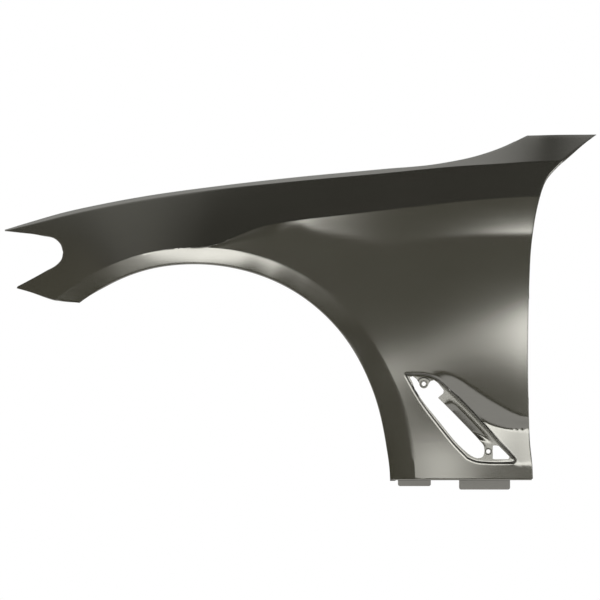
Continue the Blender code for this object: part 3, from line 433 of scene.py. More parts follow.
def ridge(x, z):
    """How far the skin steps in behind the vent: eased in across the ridge, straight back out to a small step."""
    upper, lower = curve(RIDGE_UPPER, x), curve(RIDGE_LOWER, x)
    into = ease((upper - z) / np.maximum(upper - lower, 1))
    back = np.clip((z - SILL_CREASE) / np.maximum(lower - SILL_CREASE, 1), 0, 1)
    return (RIDGE_STEP * back + SILL_STEP) * ease((x - curve(RIDGE_START, z)) / RIDGE_RUN) * into


def body_out(x, z):
    """How far outboard of the wheel plane the body stands, read from the grid between its four nearest values."""
    u = np.clip((np.asarray(x, float) - SKIN_X[0]) / (SKIN_X[1] - SKIN_X[0]), 0, len(SKIN_X) - 1.001)
    v = np.clip((np.asarray(z, float) - SKIN_Z[0]) / (SKIN_Z[1] - SKIN_Z[0]), 0, len(SKIN_Z) - 1.001)
    i, j = u.astype(int), v.astype(int)
    u, v = u - i, v - j
    summed = ((SKIN_OUT[i, j] * (1 - u) + SKIN_OUT[i + 1, j] * u) * (1 - v)
              + (SKIN_OUT[i, j + 1] * (1 - u) + SKIN_OUT[i + 1, j + 1] * u) * v)
    return summed - ridge(x, z)


def arch_point(degrees, beyond=0.0):
    """Point of the arch edge, or of the band's crease where beyond is 1: a turned radius about the wheel."""
    radius = curve(ARCH, degrees) + beyond * curve(ARCH_BAND, degrees)
    a = np.radians(degrees)
    return np.stack([ARCH_CENTRE[0] + radius * np.sin(a), ARCH_CENTRE[1] + radius * np.cos(a)], axis=-1)


def skin_y(points):
    """Inboard place of the skin: the body outside the arch crease, and inside it a band with its own lean.

    The band stands out by the tangent of its lean for each millimetre inside the crease. Its roll adds a
    parabola that is 0 at both of the band's edges.
    """
    x, z = points[..., 0], points[..., 1]
    degrees = np.degrees(np.arctan2(x - ARCH_CENTRE[0], z - ARCH_CENTRE[1]))
    crease, width = arch_point(degrees, 1.0), curve(ARCH_BAND, degrees)
    inside = np.hypot(*(crease - ARCH_CENTRE).T).T - np.hypot(x - ARCH_CENTRE[0], z - ARCH_CENTRE[1])
    share = np.clip(inside / width, 0, 1)
    rolled = np.radians(curve(BAND_ROLL, degrees)) * width * (share - share ** 2) / 2
    band = body_out(crease[..., 0], crease[..., 1]) + inside * np.tan(np.radians(curve(BAND_TILT, degrees))) + rolled
    body = body_out(x, z)
    return -(body + (band - body) * ease(inside / CREASE_BLEND + 0.5))


def patch(lower, upper, left, right, v):
    """Grid between four edges: the two blends of opposite edges, less the blend of the corners.

    The sides' points lie at the shares v, and those of the lower and upper edges at even shares.
    """
    u, v = np.linspace(0, 1, len(lower))[:, None, None], v[None, :, None]
    ends = ((1 - u) * (1 - v) * lower[0] + u * (1 - v) * lower[-1]
            + (1 - u) * v * upper[0] + u * v * upper[-1])
    return ((1 - v) * lower[:, None] + v * upper[:, None] + (1 - u) * left[None] + u * right[None] - ends)


def xyz(x, y, z):
    """Points from their three coordinates, each a number or an array."""
    return np.stack(np.broadcast_arrays(x, y, z), axis=-1)


def on_line(table, x):
    """Side-view points of a line given as stations, at places x."""
    return np.column_stack([x, curve(table, x)])


def straight(a, b, shares):
    """Points from a to b at the given shares."""
    return np.array(a) * (1 - shares[:, None]) + np.array(b) * shares[:, None]


def solve(low, high, gap):
    """Place between low and high where gap changes sign, by halving."""
    side = gap(low) > 0
    for _ in range(50):
        mid = (low + high) / 2
        low, high = (mid, high) if (gap(mid) > 0) == side else (low, mid)
    return (low + high) / 2


def run_of(line):
    """Distance along a line of points, from its first."""
    return np.concatenate([[0], np.cumsum(np.linalg.norm(np.diff(line, axis=0), axis=1))])


# ---------------------------------------------------------------------------------------------
# The sheet as grids
# ---------------------------------------------------------------------------------------------
class Sheet:
    """The open outer surface: a list of point grids, which face outboard and share their edge points."""

    def __init__(self):
        """Start with no grids."""
        self.grids = []

    def add(self, grid, flip=False):
        """Keep a grid of points, with its rows turned round where it would face inboard."""
        self.grids.append(grid[:, ::-1] if flip else grid)

    def lay(self, grid, sunk=0.0):
        """Add a side-view grid, lifted onto the skin, less what is sunk, and turned to face outboard."""
        i, j = grid.shape[0] // 2, grid.shape[1] // 2
        span_u, span_v = grid[i, j] - grid[i - 1, j], grid[i, j] - grid[i, j - 1]
        turned = span_u[0] * span_v[1] - span_u[1] * span_v[0] < 0
        self.add(xyz(grid[..., 0], skin_y(grid) + sunk, grid[..., 1]), turned)

    def arrays(self):
        """Welded points, quads and triangles: points that round to the same 2 microns are one."""
        points, quads, start = [], [], 0
        for grid in self.grids:
            n, m = grid.shape[:2]
            i = np.arange(n * m).reshape(n, m) + start
            quads.append(np.stack([i[:-1, :-1], i[1:, :-1], i[1:, 1:], i[:-1, 1:]], axis=-1).reshape(-1, 4))
            points.append(grid.reshape(-1, 3))
            start += n * m
        points, quads = np.vstack(points), np.vstack(quads)
        _, first, same = np.unique(np.round(points * 500).astype(np.int64), axis=0, return_index=True,
                                   return_inverse=True)
        quads = same.reshape(-1)[quads]
        closed = quads == np.roll(quads, 1, axis=1)
        merged = closed.sum(axis=1)
        corner = np.argmax(closed, axis=1)
        keep = (corner[:, None] + np.arange(1, 4)) % 4
        triangles = np.take_along_axis(quads, keep, axis=1)[merged == 1]
        return points[first], quads[merged == 0], triangles


def outward(line):
    """Unit normals to the right of a line's direction of travel in the side view."""
    step = np.gradient(line, axis=0)
    step /= np.linalg.norm(step, axis=1, keepdims=True)
    return np.column_stack([step[:, 1], -step[:, 0]])


def fold(line, last_angle, radius, steps=6):
    """Rows that roll a skin edge over on a radius, from its own slope to the angle of the flange.

    The line runs with the sheet on its left. An angle of 90 degrees points straight inboard.
    """
    n = outward(line)
    y = skin_y(line)
    first = np.arctan2(y - skin_y(line - n), 1.0)
    a = first + (np.radians(last_angle) - first) * np.linspace(0, 1, steps + 1)[:, None]
    out = radius * (np.sin(a) - np.sin(first))
    inboard = radius * (np.cos(first) - np.cos(a))
    return xyz(line[:, 0] + n[:, 0] * out, y + inboard, line[:, 1] + n[:, 1] * out), n


def run_out(line, low=LIP_END):
    """Share of a flange's full width, narrowing over a set run to its two ends."""
    run = run_of(line)
    return low + (1 - low) * ease(np.minimum(run, run[-1] - run) / LIP_RUN_OUT)


def extend(rows, step, shares):
    """The rows, then the last of them moved by each share of a step."""
    return np.concatenate([rows, rows[-1] + step * np.array(shares)[:, None, None]])


def lip(line, width, radius, angle=90.0):
    """A turned-in edge: the fold, then a flat of the width less the radius."""
    rows, n = fold(line, angle, radius * run_out(line, FOLD_END))
    a = math.radians(angle)
    step = xyz(n[:, 0] * math.cos(a), math.sin(a), n[:, 1] * math.cos(a))
    return extend(rows, step * ((width - radius) * run_out(line))[:, None], (0.3, 0.65, 1.0))


def rim_dip(points, ring, s):
    """How far the skin dips towards the vent's rim: a parabola that starts a rim's width outside it."""
    away = np.min(np.linalg.norm(points[..., None, :] - dense(ring), axis=-1), axis=-1)
    return math.tan(math.radians(RIM_LEAN)) / (2 * s.rim) * np.clip(s.rim - away, 0, None) ** 2


def dense(ring):
    """A closed outline's points every 0.5 mm."""
    run = run_of(ring)
    return read(ring[:, 0], ring[:, 1], run, np.arange(0, run[-1], 0.5))


def tab_profile(place, middle, size):
    """Which places lie on a tab, and how much its two rounded outer corners take off its height there."""
    inside = size / 2 - np.abs(place - middle)
    corner_in = np.clip(CORNER - inside, 0, CORNER)
    return inside > -0.01, CORNER - np.sqrt(np.maximum(CORNER ** 2 - corner_in ** 2, 0))


def bonnet_flange(line, s):
    """Wall and padded shelf along the bonnet edge: fold, wall, bend and a shelf that is level at each pad."""
    rows, _ = fold(line, BONNET_TURN, s.fold)
    x, top = line[:, 0], rows[-1]
    half = s.pad_length / 2
    heights = np.array([float(curve(TOP_EDGE, c)) - s.bonnet_wall for c in PAD_STATIONS])
    ends = np.array([c + side * half for c in PAD_STATIONS for side in (-1, 1)])
    slope = np.gradient(heights) / np.gradient(np.array(PAD_STATIONS))
    shelf = np.interp(x, ends, np.repeat(heights, 2))
    shelf += np.minimum(x - ends[0], 0) * slope[0] + np.maximum(x - ends[-1], 0) * slope[-1]
    shelf = np.minimum(shelf, top[:, 2] - LEAST_WALL)
    nose = ease((x - BONNET_START) / LIP_RUN_OUT)
    shelf = top[:, 2] - LEAST_WALL + (shelf - top[:, 2] + LEAST_WALL) * nose
    past = np.min([np.abs(x - c) for c in PAD_STATIONS], axis=0) - half
    width = s.bonnet_shelf + (s.bonnet_web - s.bonnet_shelf) * ease(past / PAD_TAPER)
    width = np.minimum(width, LEAST_SHELF + s.bonnet_web * SHELF_GROWTH * nose)
    foot = top[:, 1] + WALL_DRAFT
    r = np.minimum(s.bend, (top[:, 2] - shelf) * 0.7)
    a = np.linspace(0, np.pi / 2, 5)[:, None]
    bend = xyz(x, foot + r * (1 - np.cos(a)), shelf + r * (1 - np.sin(a)))
    inner = xyz(x, foot + r + (width - r) * np.linspace(0, 1, 5)[1:, None], shelf)
    return np.concatenate([rows, bend, inner])


def door_hem(line, s):
    """Turned-in door edge: a fold, then a flat whose width grows at the hinge-pillar tabs."""
    z = line[:, 1]
    rows, _ = fold(line, 90.0, s.fold * np.where(z > PILLAR_BEND, run_out(line, FOLD_END), 1.0))
    reach = (s.door_hem - s.fold) * run_out(line)
    flat = rows[-1][:, 0].copy()
    for height in HINGE_TAB_HEIGHTS:
        on, cut = tab_profile(z, height, s.hinge_tab_length)
        reach = np.where(on, s.door_hem + s.hinge_tab - s.fold - cut, reach)
        flat = np.where(on, flat[on].mean(), flat)
    rows[-1][:, 0] = flat
    return extend(rows, xyz(0.0, reach, 0.0), (0.2, 0.45, 0.7, 0.9, 1.0))


def sill_shelf(line, s):
    """Shelf under the bottom edge: a fold, then straight rows to an inner edge that is level with each tab."""
    rows, _ = fold(line, 90.0, s.fold)
    x = line[:, 0]
    seat = [skin_y(np.array([(a + b) / 2, SILL])) + s.sill_shelf for a, b, _ in SILL_TABS]
    ends = [end for a, b, _ in SILL_TABS for end in (a, b)]
    inner = xyz(rows[-1][:, 0], np.interp(x, ends, np.repeat(seat, 2)), rows[-1][:, 2])
    share = np.linspace(0, 1, 6)[1:, None, None]
    return np.concatenate([rows, rows[-1] * (1 - share) + inner * share])


def sill_tab(edge, a, b, drop, s):
    """A tab turned down from the shelf on the fold radius, with its two lower corners rounded."""
    x, y, z = edge.T
    turn = np.linspace(0, np.pi / 2, 5)[1:, None]
    rolled = xyz(x, y + s.fold * np.sin(turn), z - s.fold * (1 - np.cos(turn)))
    _, cut = tab_profile(x, (a + b) / 2, b - a)
    fall = SILL - s.fold * 2 - (drop - s.fold * 1.5) + cut - rolled[-1][:, 2]
    down = xyz(0.0, -fall * math.tan(math.radians(TAB_LEAN)), fall)
    return extend(np.concatenate([edge[None], rolled]), down, np.linspace(0, 1, 6)[1:])


# ---------------------------------------------------------------------------------------------
# The panel
# ---------------------------------------------------------------------------------------------
def around(knots, pitch):
    """Stations that also lie close together on both sides of a tab's ends, for its rounded corners."""
    close = CORNER * (1 - np.cos(np.linspace(0, np.pi / 2, 6)))
    return np.unique(np.concatenate([stations(sorted(knots), pitch),
                                     *[k + side * close for k in knots[1:-1] for side in (1, -1)]]).round(3))


def draw_skin(sheet, s):
    """Lay the patches of the outer skin and return its named edge lines in the side view."""
    door_x = lambda z: float(curve(DOOR_EDGE, z))
    crease_end = solve(SHOULDER[-1][1], PILLAR_TIP[1], lambda z: z - curve(BONNET_CREASE, door_x(z)))
    shoulder_end = solve(CHANNEL[-1][1], BONNET_CREASE[-1][1], lambda z: z - curve(SHOULDER, door_x(z)))
    front, corner = [solve(-90, 0, lambda a: arch_point(a, beyond)[1] - curve(FRONT_EDGE, arch_point(a, beyond)[0]))
                     for beyond in (1, 0)]
    rear, heel = [solve(0, 180, lambda a: arch_point(a, beyond)[1] - SILL) for beyond in (1, 0)]

    # Columns run from the nose to the door edge and keep the pads' ends and the pillar corner
    nose_x, end_x = BONNET_CREASE[0][0], door_x(crease_end)
    pillar = TOP_EDGE[-1][0]
    squeeze = (end_x - PILLAR_BEND) / (PILLAR_TIP[0] - PILLAR_BEND)
    pads = [c + side * s.pad_length / 2 for c in PAD_STATIONS for side in (-1, 1)]
    knots = sorted([nose_x, BONNET_START, *pads, PILLAR_BEND + (pillar - PILLAR_BEND) * squeeze, end_x])
    split = PAD_STATIONS[3] - s.pad_length / 2
    x1 = stations(knots, s.pitch)
    cut = int(np.argmin(abs(x1 - split)))
    crease = on_line(BONNET_CREASE, x1)
    crease[-1] = (end_x, crease_end)
    xt = np.where(x1 > PILLAR_BEND, PILLAR_BEND + (x1 - PILLAR_BEND) / squeeze, x1)
    top_z = np.where(xt > pillar + 0.01, np.interp(xt, [pillar, PILLAR_TIP[0]], [TOP_EDGE[-1][1], PILLAR_TIP[1]]),
                     curve(TOP_EDGE, xt))
    top = np.column_stack([xt, top_z])
    nose = NOTCH[NOTCH_NOSE]
    xs = np.where(x1 < split, nose[0] + (x1 - nose_x) * (split - nose[0]) / (split - nose_x),
                  split + (x1 - split) * (door_x(shoulder_end) - split) / (end_x - split))
    shoulder = on_line(SHOULDER, xs)
    shoulder[0], shoulder[-1] = nose, (door_x(shoulder_end), shoulder_end)

    def door(z):
        """Side-view points of the door edge at heights z."""
        return np.column_stack([curve(DOOR_EDGE, z), z])

    # Strip above the bonnet crease, then the upper body down to the shoulder
    v = fine_end(STRIP_ROWS, -1)
    strip_end = door(crease_end + (PILLAR_TIP[1] - crease_end) * v)
    strip_end[-1] = PILLAR_TIP
    sheet.lay(patch(crease, top, straight(crease[0], top[0], v), strip_end, v))
    v = np.linspace(0, 1, UPPER_ROWS + 1)
    upper_end = door(shoulder_end + (crease_end - shoulder_end) * v)
    notch_upper = path(NOTCH[NOTCH_NOSE::-1], v)
    sheet.lay(patch(shoulder, crease, notch_upper, upper_end, v))

    # Arch crease from the front edge to the sill, in three stretches, and the body over its front
    v = fine_end(FLANK_ROWS, -1)
    tabs = [(h - s.hinge_tab_length / 2, h + s.hinge_tab_length / 2) for h in HINGE_TAB_HEIGHTS]
    over_waist = around([WAIST_DOOR, *tabs[0], tabs[0][1] + TAB_GAP], s.pitch)
    above_tab = over_waist[-1] + (shoulder_end - over_waist[-1]) * np.linspace(0, 1, FLANK_ROWS + 1)
    lower_door = door(np.concatenate([over_waist, above_tab[1:]]))
    rear_door = door(around([SILL, *tabs[1], WAIST_DOOR], s.pitch))
    arch_a = np.linspace(front, SPLIT_ARCH, cut + 1)
    arch_b = np.linspace(SPLIT_ARCH, SPLIT_REAR, len(lower_door) - FLANK_ROWS)
    arch_c = np.linspace(SPLIT_REAR, rear, len(rear_door))
    nose_drop = straight(arch_point(front, 1), nose, v)
    rise = straight(arch_point(SPLIT_ARCH, 1), shoulder[cut], v)
    sheet.lay(patch(arch_point(arch_a, 1), shoulder[:cut + 1], nose_drop, rise, v))

    # Front prong below the lamp notch
    tip_top, tip_low = np.array(NOTCH[-1]), np.array(FRONT_EDGE[0])
    notch_lower = path(NOTCH[NOTCH_NOSE:], np.linspace(0, 1, PRONG_COLUMNS + 1))
    under = on_line(FRONT_EDGE, np.linspace(tip_low[0], nose_drop[0, 0], PRONG_COLUMNS + 1))
    under[-1] = nose_drop[0]
    sheet.lay(patch(under, notch_lower[::-1], straight(tip_low, tip_top, v), nose_drop, v))

    # Flank between the shoulder and the waist, then four patches round the vent
    flank_front = np.vstack([arch_point(arch_b, 1)[::-1], rise[1:]])
    waist = path([arch_point(SPLIT_REAR, 1), *WAIST, (door_x(WAIST_DOOR), WAIST_DOOR)],
                 np.linspace(0, 1, len(x1) - cut))
    v = run_of(lower_door) / run_of(lower_door)[-1]
    sheet.lay(patch(waist, shoulder[cut:], flank_front, lower_door, v))
    sill_knots = [x for a, b, _ in SILL_TABS for x in (a, b) if x > arch_point(rear, 1)[0]]
    sill_x = around([arch_point(rear, 1)[0], *sill_knots, door_x(SILL)], s.pitch)
    sill = np.column_stack([sill_x, np.full(len(sill_x), SILL)])
    sill[0], sill[-1] = arch_point(rear, 1), (door_x(SILL), SILL)
    behind = arch_point(arch_c, 1)
    vent = [path(line, np.linspace(0, 1, len(outer))) for line, outer in
            zip((VENT_UPPER[::-1], VENT_FRONT, VENT_LOWER, VENT_REAR), (waist, behind, sill, rear_door))]
    corners = [(vent[0][0] + vent[1][0]) / 2, (vent[1][-1] + vent[2][0]) / 2,
               (vent[2][-1] + vent[3][0]) / 2, (vent[3][-1] + vent[0][-1]) / 2]
    quarters = ((waist, vent[0], 0, 3), (behind, vent[1], 0, 1), (sill, vent[2], 1, 2), (rear_door, vent[3], 2, 3))
    for _, inner, a, b in quarters:
        inner[0], inner[-1] = corners[a], corners[b]
    v = fine_end(VENT_ROWS, 1)
    ring = np.vstack([vent[1], vent[2][1:], vent[3][1:], vent[0][::-1][1:]])
    spokes = [straight(a, b, v) for a, b in zip((waist[0], behind[-1], sill[-1], waist[-1]), corners)]
    for outer, inner, a, b in quarters:
        grid = patch(outer, inner, spokes[a], spokes[b], v)
        sheet.lay(grid, rim_dip(grid, ring, s))

    # Arch band, from the crease to the arch edge
    heel_x = around([arch_point(heel)[0], SILL_TABS[0][0], arch_point(rear, 1)[0]], s.pitch)[::-1]
    widths = (heel_x[0] - heel_x) / (heel_x[0] - heel_x[-1])
    angles = np.concatenate([arch_a, arch_b[1:], arch_c[1:]])
    edge_angles = corner + (heel - corner) * (angles - front) / (rear - front)
    crease_line, edge_line = arch_point(angles, 1), arch_point(edge_angles)
    front_end = crease_line[0] + (edge_line[0] - crease_line[0]) * widths[:, None]
    front_end[:, 1] = curve(FRONT_EDGE, front_end[:, 0])
    rear_end = crease_line[-1] + (edge_line[-1] - crease_line[-1]) * widths[:, None]
    front_end[0], front_end[-1] = crease_line[0], edge_line[0]
    band = crease_line[:, None] * (1 - widths[:, None]) + edge_line[:, None] * widths[:, None]
    band[0], band[-1] = front_end, rear_end
    sheet.lay(band)
    return SimpleNamespace(top=top, strip_end=strip_end, upper_end=upper_end, lower_door=lower_door,
                           rear_door=rear_door, sill=sill, heel=rear_end, arch=edge_line, front=front_end,
                           under=under, notch=np.vstack([notch_upper[::-1], notch_lower[1:]]), vent=vent)


def fold_edges(sheet, lines, s):
    """Add every turned edge to the sheet. Each line runs with the sheet on its left."""
    laid = lambda rows: sheet.add(rows.transpose(1, 0, 2), True)
    top = lines.top
    laid(bonnet_flange(top[(top[:, 0] > BONNET_START - 0.1) & (top[:, 0] < BONNET_END)][::-1], s))
    laid(lip(top[top[:, 0] > TOP_EDGE[-1][0] - 0.1][:-1][::-1], s.cowl_lip, s.fold, COWL_TURN))
    door = np.vstack([lines.rear_door, lines.lower_door[1:], lines.upper_end[1:], lines.strip_end[1:-1]])
    laid(door_hem(door, s))
    sill = np.vstack([lines.heel[::-1], lines.sill[1:]])
    shelf = sill_shelf(sill, s)
    laid(shelf)
    for a, b, drop in SILL_TABS:
        laid(sill_tab(shelf[-1][(sill[:, 0] > a - 0.01) & (sill[:, 0] < b + 0.01)], a, b, drop, s))
    laid(lip(lines.arch[1:-1], s.arch_lip, s.fold))
    clear = FRONT_EDGE[0][0] + TIP_RELIEF
    front = np.vstack([lines.under[:-1], lines.front])
    laid(lip(front[front[:, 0] > clear], s.front_lip, s.fold))
    laid(lip(lines.notch[lines.notch[:, 0] > clear], s.front_lip, s.fold))


def vent_floor(places, s):
    """Flat floor of the vent: the plane through three points of the outline, each sunk by its depth."""
    anchors = np.array([VENT_FRONT[0], VENT_FRONT[-1], VENT_REAR[0]], float)
    depth = np.array([s.vent_front, s.vent_front, s.vent_rear])
    plane = np.linalg.solve(np.column_stack([anchors, np.ones(3)]), skin_y(anchors) + depth)
    return places[..., 0] * plane[0] + places[..., 1] * plane[1] + plane[2]


def inset(sides, by):
    """The closed outline of four sides moved inwards with mitred corners; each side keeps its count of points."""
    corners = []
    for before, after in zip([sides[-1], *sides[:-1]], sides):
        back, on = before[-2] - before[-1], after[1] - after[0]
        back, on = back / np.linalg.norm(back), on / np.linalg.norm(on)
        half = math.acos(float(np.clip(back @ on, -1, 1))) / 2
        middle = back + on
        corners.append(after[0] + middle / np.linalg.norm(middle) * by / math.sin(half))
    moved = []
    for side, a, b in zip(sides, corners, [*corners[1:], corners[0]]):
        line = side - outward(side) * by
        along = (line - a) @ (b - a) / np.linalg.norm(b - a)
        line = np.vstack([a, line[(along > 0.5) & (along < np.linalg.norm(b - a) - 0.5)], b])
        run = run_of(line)
        moved.append(read(line[:, 0], line[:, 1], run, np.linspace(0, run[-1], len(side))))
    return moved


def sink_vent(sheet, lines, s):
    """Rolled rim, walls, bend and flat floor of the vent, in to the slot and the flange on its rear side."""
    upper, front, lower, rear = lines.vent
    sides = [front, lower, rear, upper[::-1]]
    join = lambda parts: np.vstack([parts[0], *[part[1:] for part in parts[1:]]])
    lift = lambda line, y: xyz(line[:, 0], y, line[:, 1])
    ring = join(sides)
    slot = join([path(line, np.linspace(0, 1, len(side))) for line, side in
                 zip((SLOT_FRONT, SLOT_LOWER, SLOT_REAR, SLOT_UPPER), sides)])
    first = np.arctan2(skin_y(join(inset(sides, 1.0))) - skin_y(ring), 1.0) + math.radians(RIM_LEAN)
    rim = skin_y(ring) + rim_dip(ring, ring, s)
    rows = [lift(ring, rim)]
    for share in np.linspace(0, 1, 7)[1:]:
        a = first + (math.radians(VENT_TURN) - first) * share
        out = s.vent_roll * float(np.mean(np.sin(a) - np.sin(first)))
        rows.append(lift(join(inset(sides, out)), rim + s.vent_roll * (np.cos(first) - np.cos(a))))
    for a in np.linspace(0, math.pi / 2, 5):
        line = join(inset(sides, out + s.vent_draft + s.bend * (1 - math.cos(a))))
        rows.append(lift(line, vent_floor(line, s) - s.bend * (1 - math.sin(a))))
    start = len(front) + len(lower) - 2
    along = np.clip((np.arange(len(ring)) - start) / (len(rear) - 1), 0, 1)
    ramp = s.ramp_drop * ease((along - RAMP_STARTS[0]) / (RAMP_STARTS[1] - RAMP_STARTS[0]))
    ramp *= ease((RAMP_ENDS[1] - along) / (RAMP_ENDS[1] - RAMP_ENDS[0]))
    for t in FLOOR_ROWS:
        row = line * (1 - t) + slot * t
        over = max(0.0, (t - LEDGE_SHARE) / (1 - LEDGE_SHARE))
        rows.append(lift(row, vent_floor(row, s) + ramp * over))
    sheet.add(np.array(rows).transpose(1, 0, 2))
    edge = rows[-1][start:start + len(rear)]
    x, y, z = edge.T
    n = outward(edge[:, [0, 2]])
    a = np.linspace(0, math.radians(SLOT_TURN), 5)[:, None]
    r = s.bend * run_out(edge, 0.1)
    rolled = xyz(x - n[:, 0] * r * np.sin(a), y + r * (1 - np.cos(a)), z - n[:, 1] * r * np.sin(a))
    drop = xyz(0.0, s.slot_flange * run_out(edge, 0.75), 0.0)
    sheet.add(extend(rolled, drop, (0.5, 1.0)).transpose(1, 0, 2))


def pad_centre(x, s):
    """Middle of the bolt pad's slot at a station of the bonnet edge."""
    rows, _ = fold(on_line(TOP_EDGE, np.array([x + 1.0, x, x - 1.0])), BONNET_TURN, s.fold)
    inboard = rows[-1][1, 1] + WALL_DRAFT + s.bonnet_shelf * SLOT_SHARE
    return np.array([x, inboard, float(curve(TOP_EDGE, x)) - s.bonnet_wall])


def pad_origin(s):
    """Bearing point under the middle bolt pad, behind its slot, where the object's origin is."""
    return pad_centre(PAD_STATIONS[2], s) + np.array([s.pad_seat, 0, -s.sheet])


# ---------------------------------------------------------------------------------------------
# Holes
# ---------------------------------------------------------------------------------------------
def prism(ring, axis, reach):
    """Closed prism: the ring carried by plus and minus reach along the axis."""
    n = len(ring)
    i = np.arange(n)
    points = np.vstack([ring - axis * reach, ring + axis * reach])
    sides = np.column_stack([i, (i + 1) % n, n + (i + 1) % n, n + i])
    return points, [*sides.tolist(), i[::-1].tolist(), (i + n).tolist()]


def obround(centre, axis, along, width, length, reach, steps=16):
    """Closed prism with round ends: two half circles, pushed apart along the slot."""
    axis, along = np.array(axis, float), np.array(along, float)
    axis, along = axis / np.linalg.norm(axis), along / np.linalg.norm(along)
    a = (np.arange(2 * steps) + 0.5) * math.pi / steps - math.pi / 2
    apart = np.where(np.cos(a) > 0, 1, -1) * (length - width) / 2
    ring = (apart + np.cos(a) * width / 2)[:, None] * along + (np.sin(a) * width / 2)[:, None] * np.cross(axis, along)
    return prism(ring + np.array(centre), axis, reach)


def rounded(outline, radius, steps=5):
    """Outline whose corners are parabolas between points a radius, or at most 0.4 of the side, from the corner."""
    p = np.array(outline, float)
    back, on = np.roll(p, 1, axis=0) - p, np.roll(p, -1, axis=0) - p
    size = np.minimum(np.linalg.norm(back, axis=1), np.linalg.norm(on, axis=1))[:, None]
    cut = np.minimum(radius, size * 0.4)
    a = p + back / np.linalg.norm(back, axis=1, keepdims=True) * cut
    b = p + on / np.linalg.norm(on, axis=1, keepdims=True) * cut
    t = np.linspace(0, 1, steps)[None, :, None]
    return ((1 - t) ** 2 * a[:, None] + 2 * t * (1 - t) * p[:, None] + t * t * b[:, None]).reshape(-1, 2)


def side_prism(outline, middle, reach):
    """Cutter with an outline in the side view that passes through the sheet at one depth."""
    x, z = outline.T
    ring = xyz(x, middle, z)
    area = float(np.sum(x * np.roll(z, -1) - np.roll(x, -1) * z))
    return prism(ring if area < 0 else ring[::-1], np.array([0, 1.0, 0]), reach)


def pierce(s):
    """Every punched hole, as the points and faces of separate closed prisms."""
    up, out, back = (0, 0, 1), (0, 1, 0), (1, 0, 0)
    pieces = [obround(pad_centre(x, s), up, back, s.pad_slot_width, s.pad_slot_length, PAD_PUNCH)
              for x in PAD_STATIONS]
    for z in HINGE_TAB_HEIGHTS:
        edge = np.array([float(curve(DOOR_EDGE, z)), z])
        place = (edge[0] + s.fold, float(skin_y(edge)) + s.door_hem + s.hinge_tab * HINGE_BOLT_SHARE, z)
        pieces.append(obround(place, back, out, s.hinge_bolt, s.hinge_bolt, FLANGE_PUNCH))
    for a in LINER_ANGLES:
        edge = arch_point(a)
        ray = np.array([math.sin(math.radians(a)), 0, math.cos(math.radians(a))])
        place = (edge[0], float(skin_y(edge)) + s.fold + s.arch_lip * SCREW_SHARE, edge[1])
        pieces.append(obround(place, ray, out, s.liner_screw, s.liner_screw, FLANGE_PUNCH))
    for place in (CLIP_TAB, STRAP_HOLE):
        at = np.array(place)
        pieces.append(obround((at[0], vent_floor(at, s), at[1]), out, back, s.clip_hole, s.clip_hole, CLIP_PUNCH))
    a = np.radians(np.linspace(*CLIP_TAB_ARC, 16))
    arc = np.column_stack([CLIP_TAB[0] + s.clip_tab_radius * np.cos(a), CLIP_TAB[1] + s.clip_tab_radius * np.sin(a)])
    window = np.vstack([WINDOW, arc, WINDOW_END])
    pieces.append(side_prism(window, vent_floor(np.array(CLIP_TAB), s), WINDOW_PUNCH))
    pieces.append(side_prism(rounded(CORNER_HOLE, HOLE_CORNER), vent_floor(np.array(STRAP_HOLE), s), WINDOW_PUNCH))
    starts = np.cumsum([0, *[len(p) for p, _ in pieces[:-1]]])
    faces = [[v + start for v in face] for start, (_, part) in zip(starts, pieces) for face in part]
    return np.vstack([p for p, _ in pieces]), faces


# ---------------------------------------------------------------------------------------------
# Finish
# ---------------------------------------------------------------------------------------------
def node(tree, kind, inputs=(), **values):
    """Add a node, set its properties, then link the inputs given as sockets and set the others to their values."""
    made = tree.nodes.new(kind)
    made.location = (200 * len(tree.nodes), 0)
    for name, value in values.items():
        setattr(made, name, value)
    for key, value in dict(inputs).items():
        if isinstance(value, bpy.types.NodeSocket):
            tree.links.new(value, made.inputs[key])
        else:
            made.inputs[key].default_value = value
    return made


def maths(tree, operation, a, b=0.0):
    """Result of a Math node on two values or sockets."""
    return node(tree, "ShaderNodeMath", {0: a, 1: b}, operation=operation).outputs[0]


def vector(tree, operation, inputs):
    """Result of a Vector Math node."""
    return node(tree, "ShaderNodeVectorMath", inputs, operation=operation).outputs["Vector"]


def shader_group(name, inputs, outputs):
    """A new node group with sockets of (name, kind, default if any), what it is given and what it puts out."""
    group = bpy.data.node_groups.new(name, "ShaderNodeTree")
    for way, sockets in (("INPUT", inputs), ("OUTPUT", outputs)):
        for label, kind, *default in sockets:
            made = group.interface.new_socket(name=label, in_out=way, socket_type="NodeSocket" + kind)
            if default:
                made.default_value = default[0]
    return group, node(group, "NodeGroupInput").outputs, node(group, "NodeGroupOutput").inputs


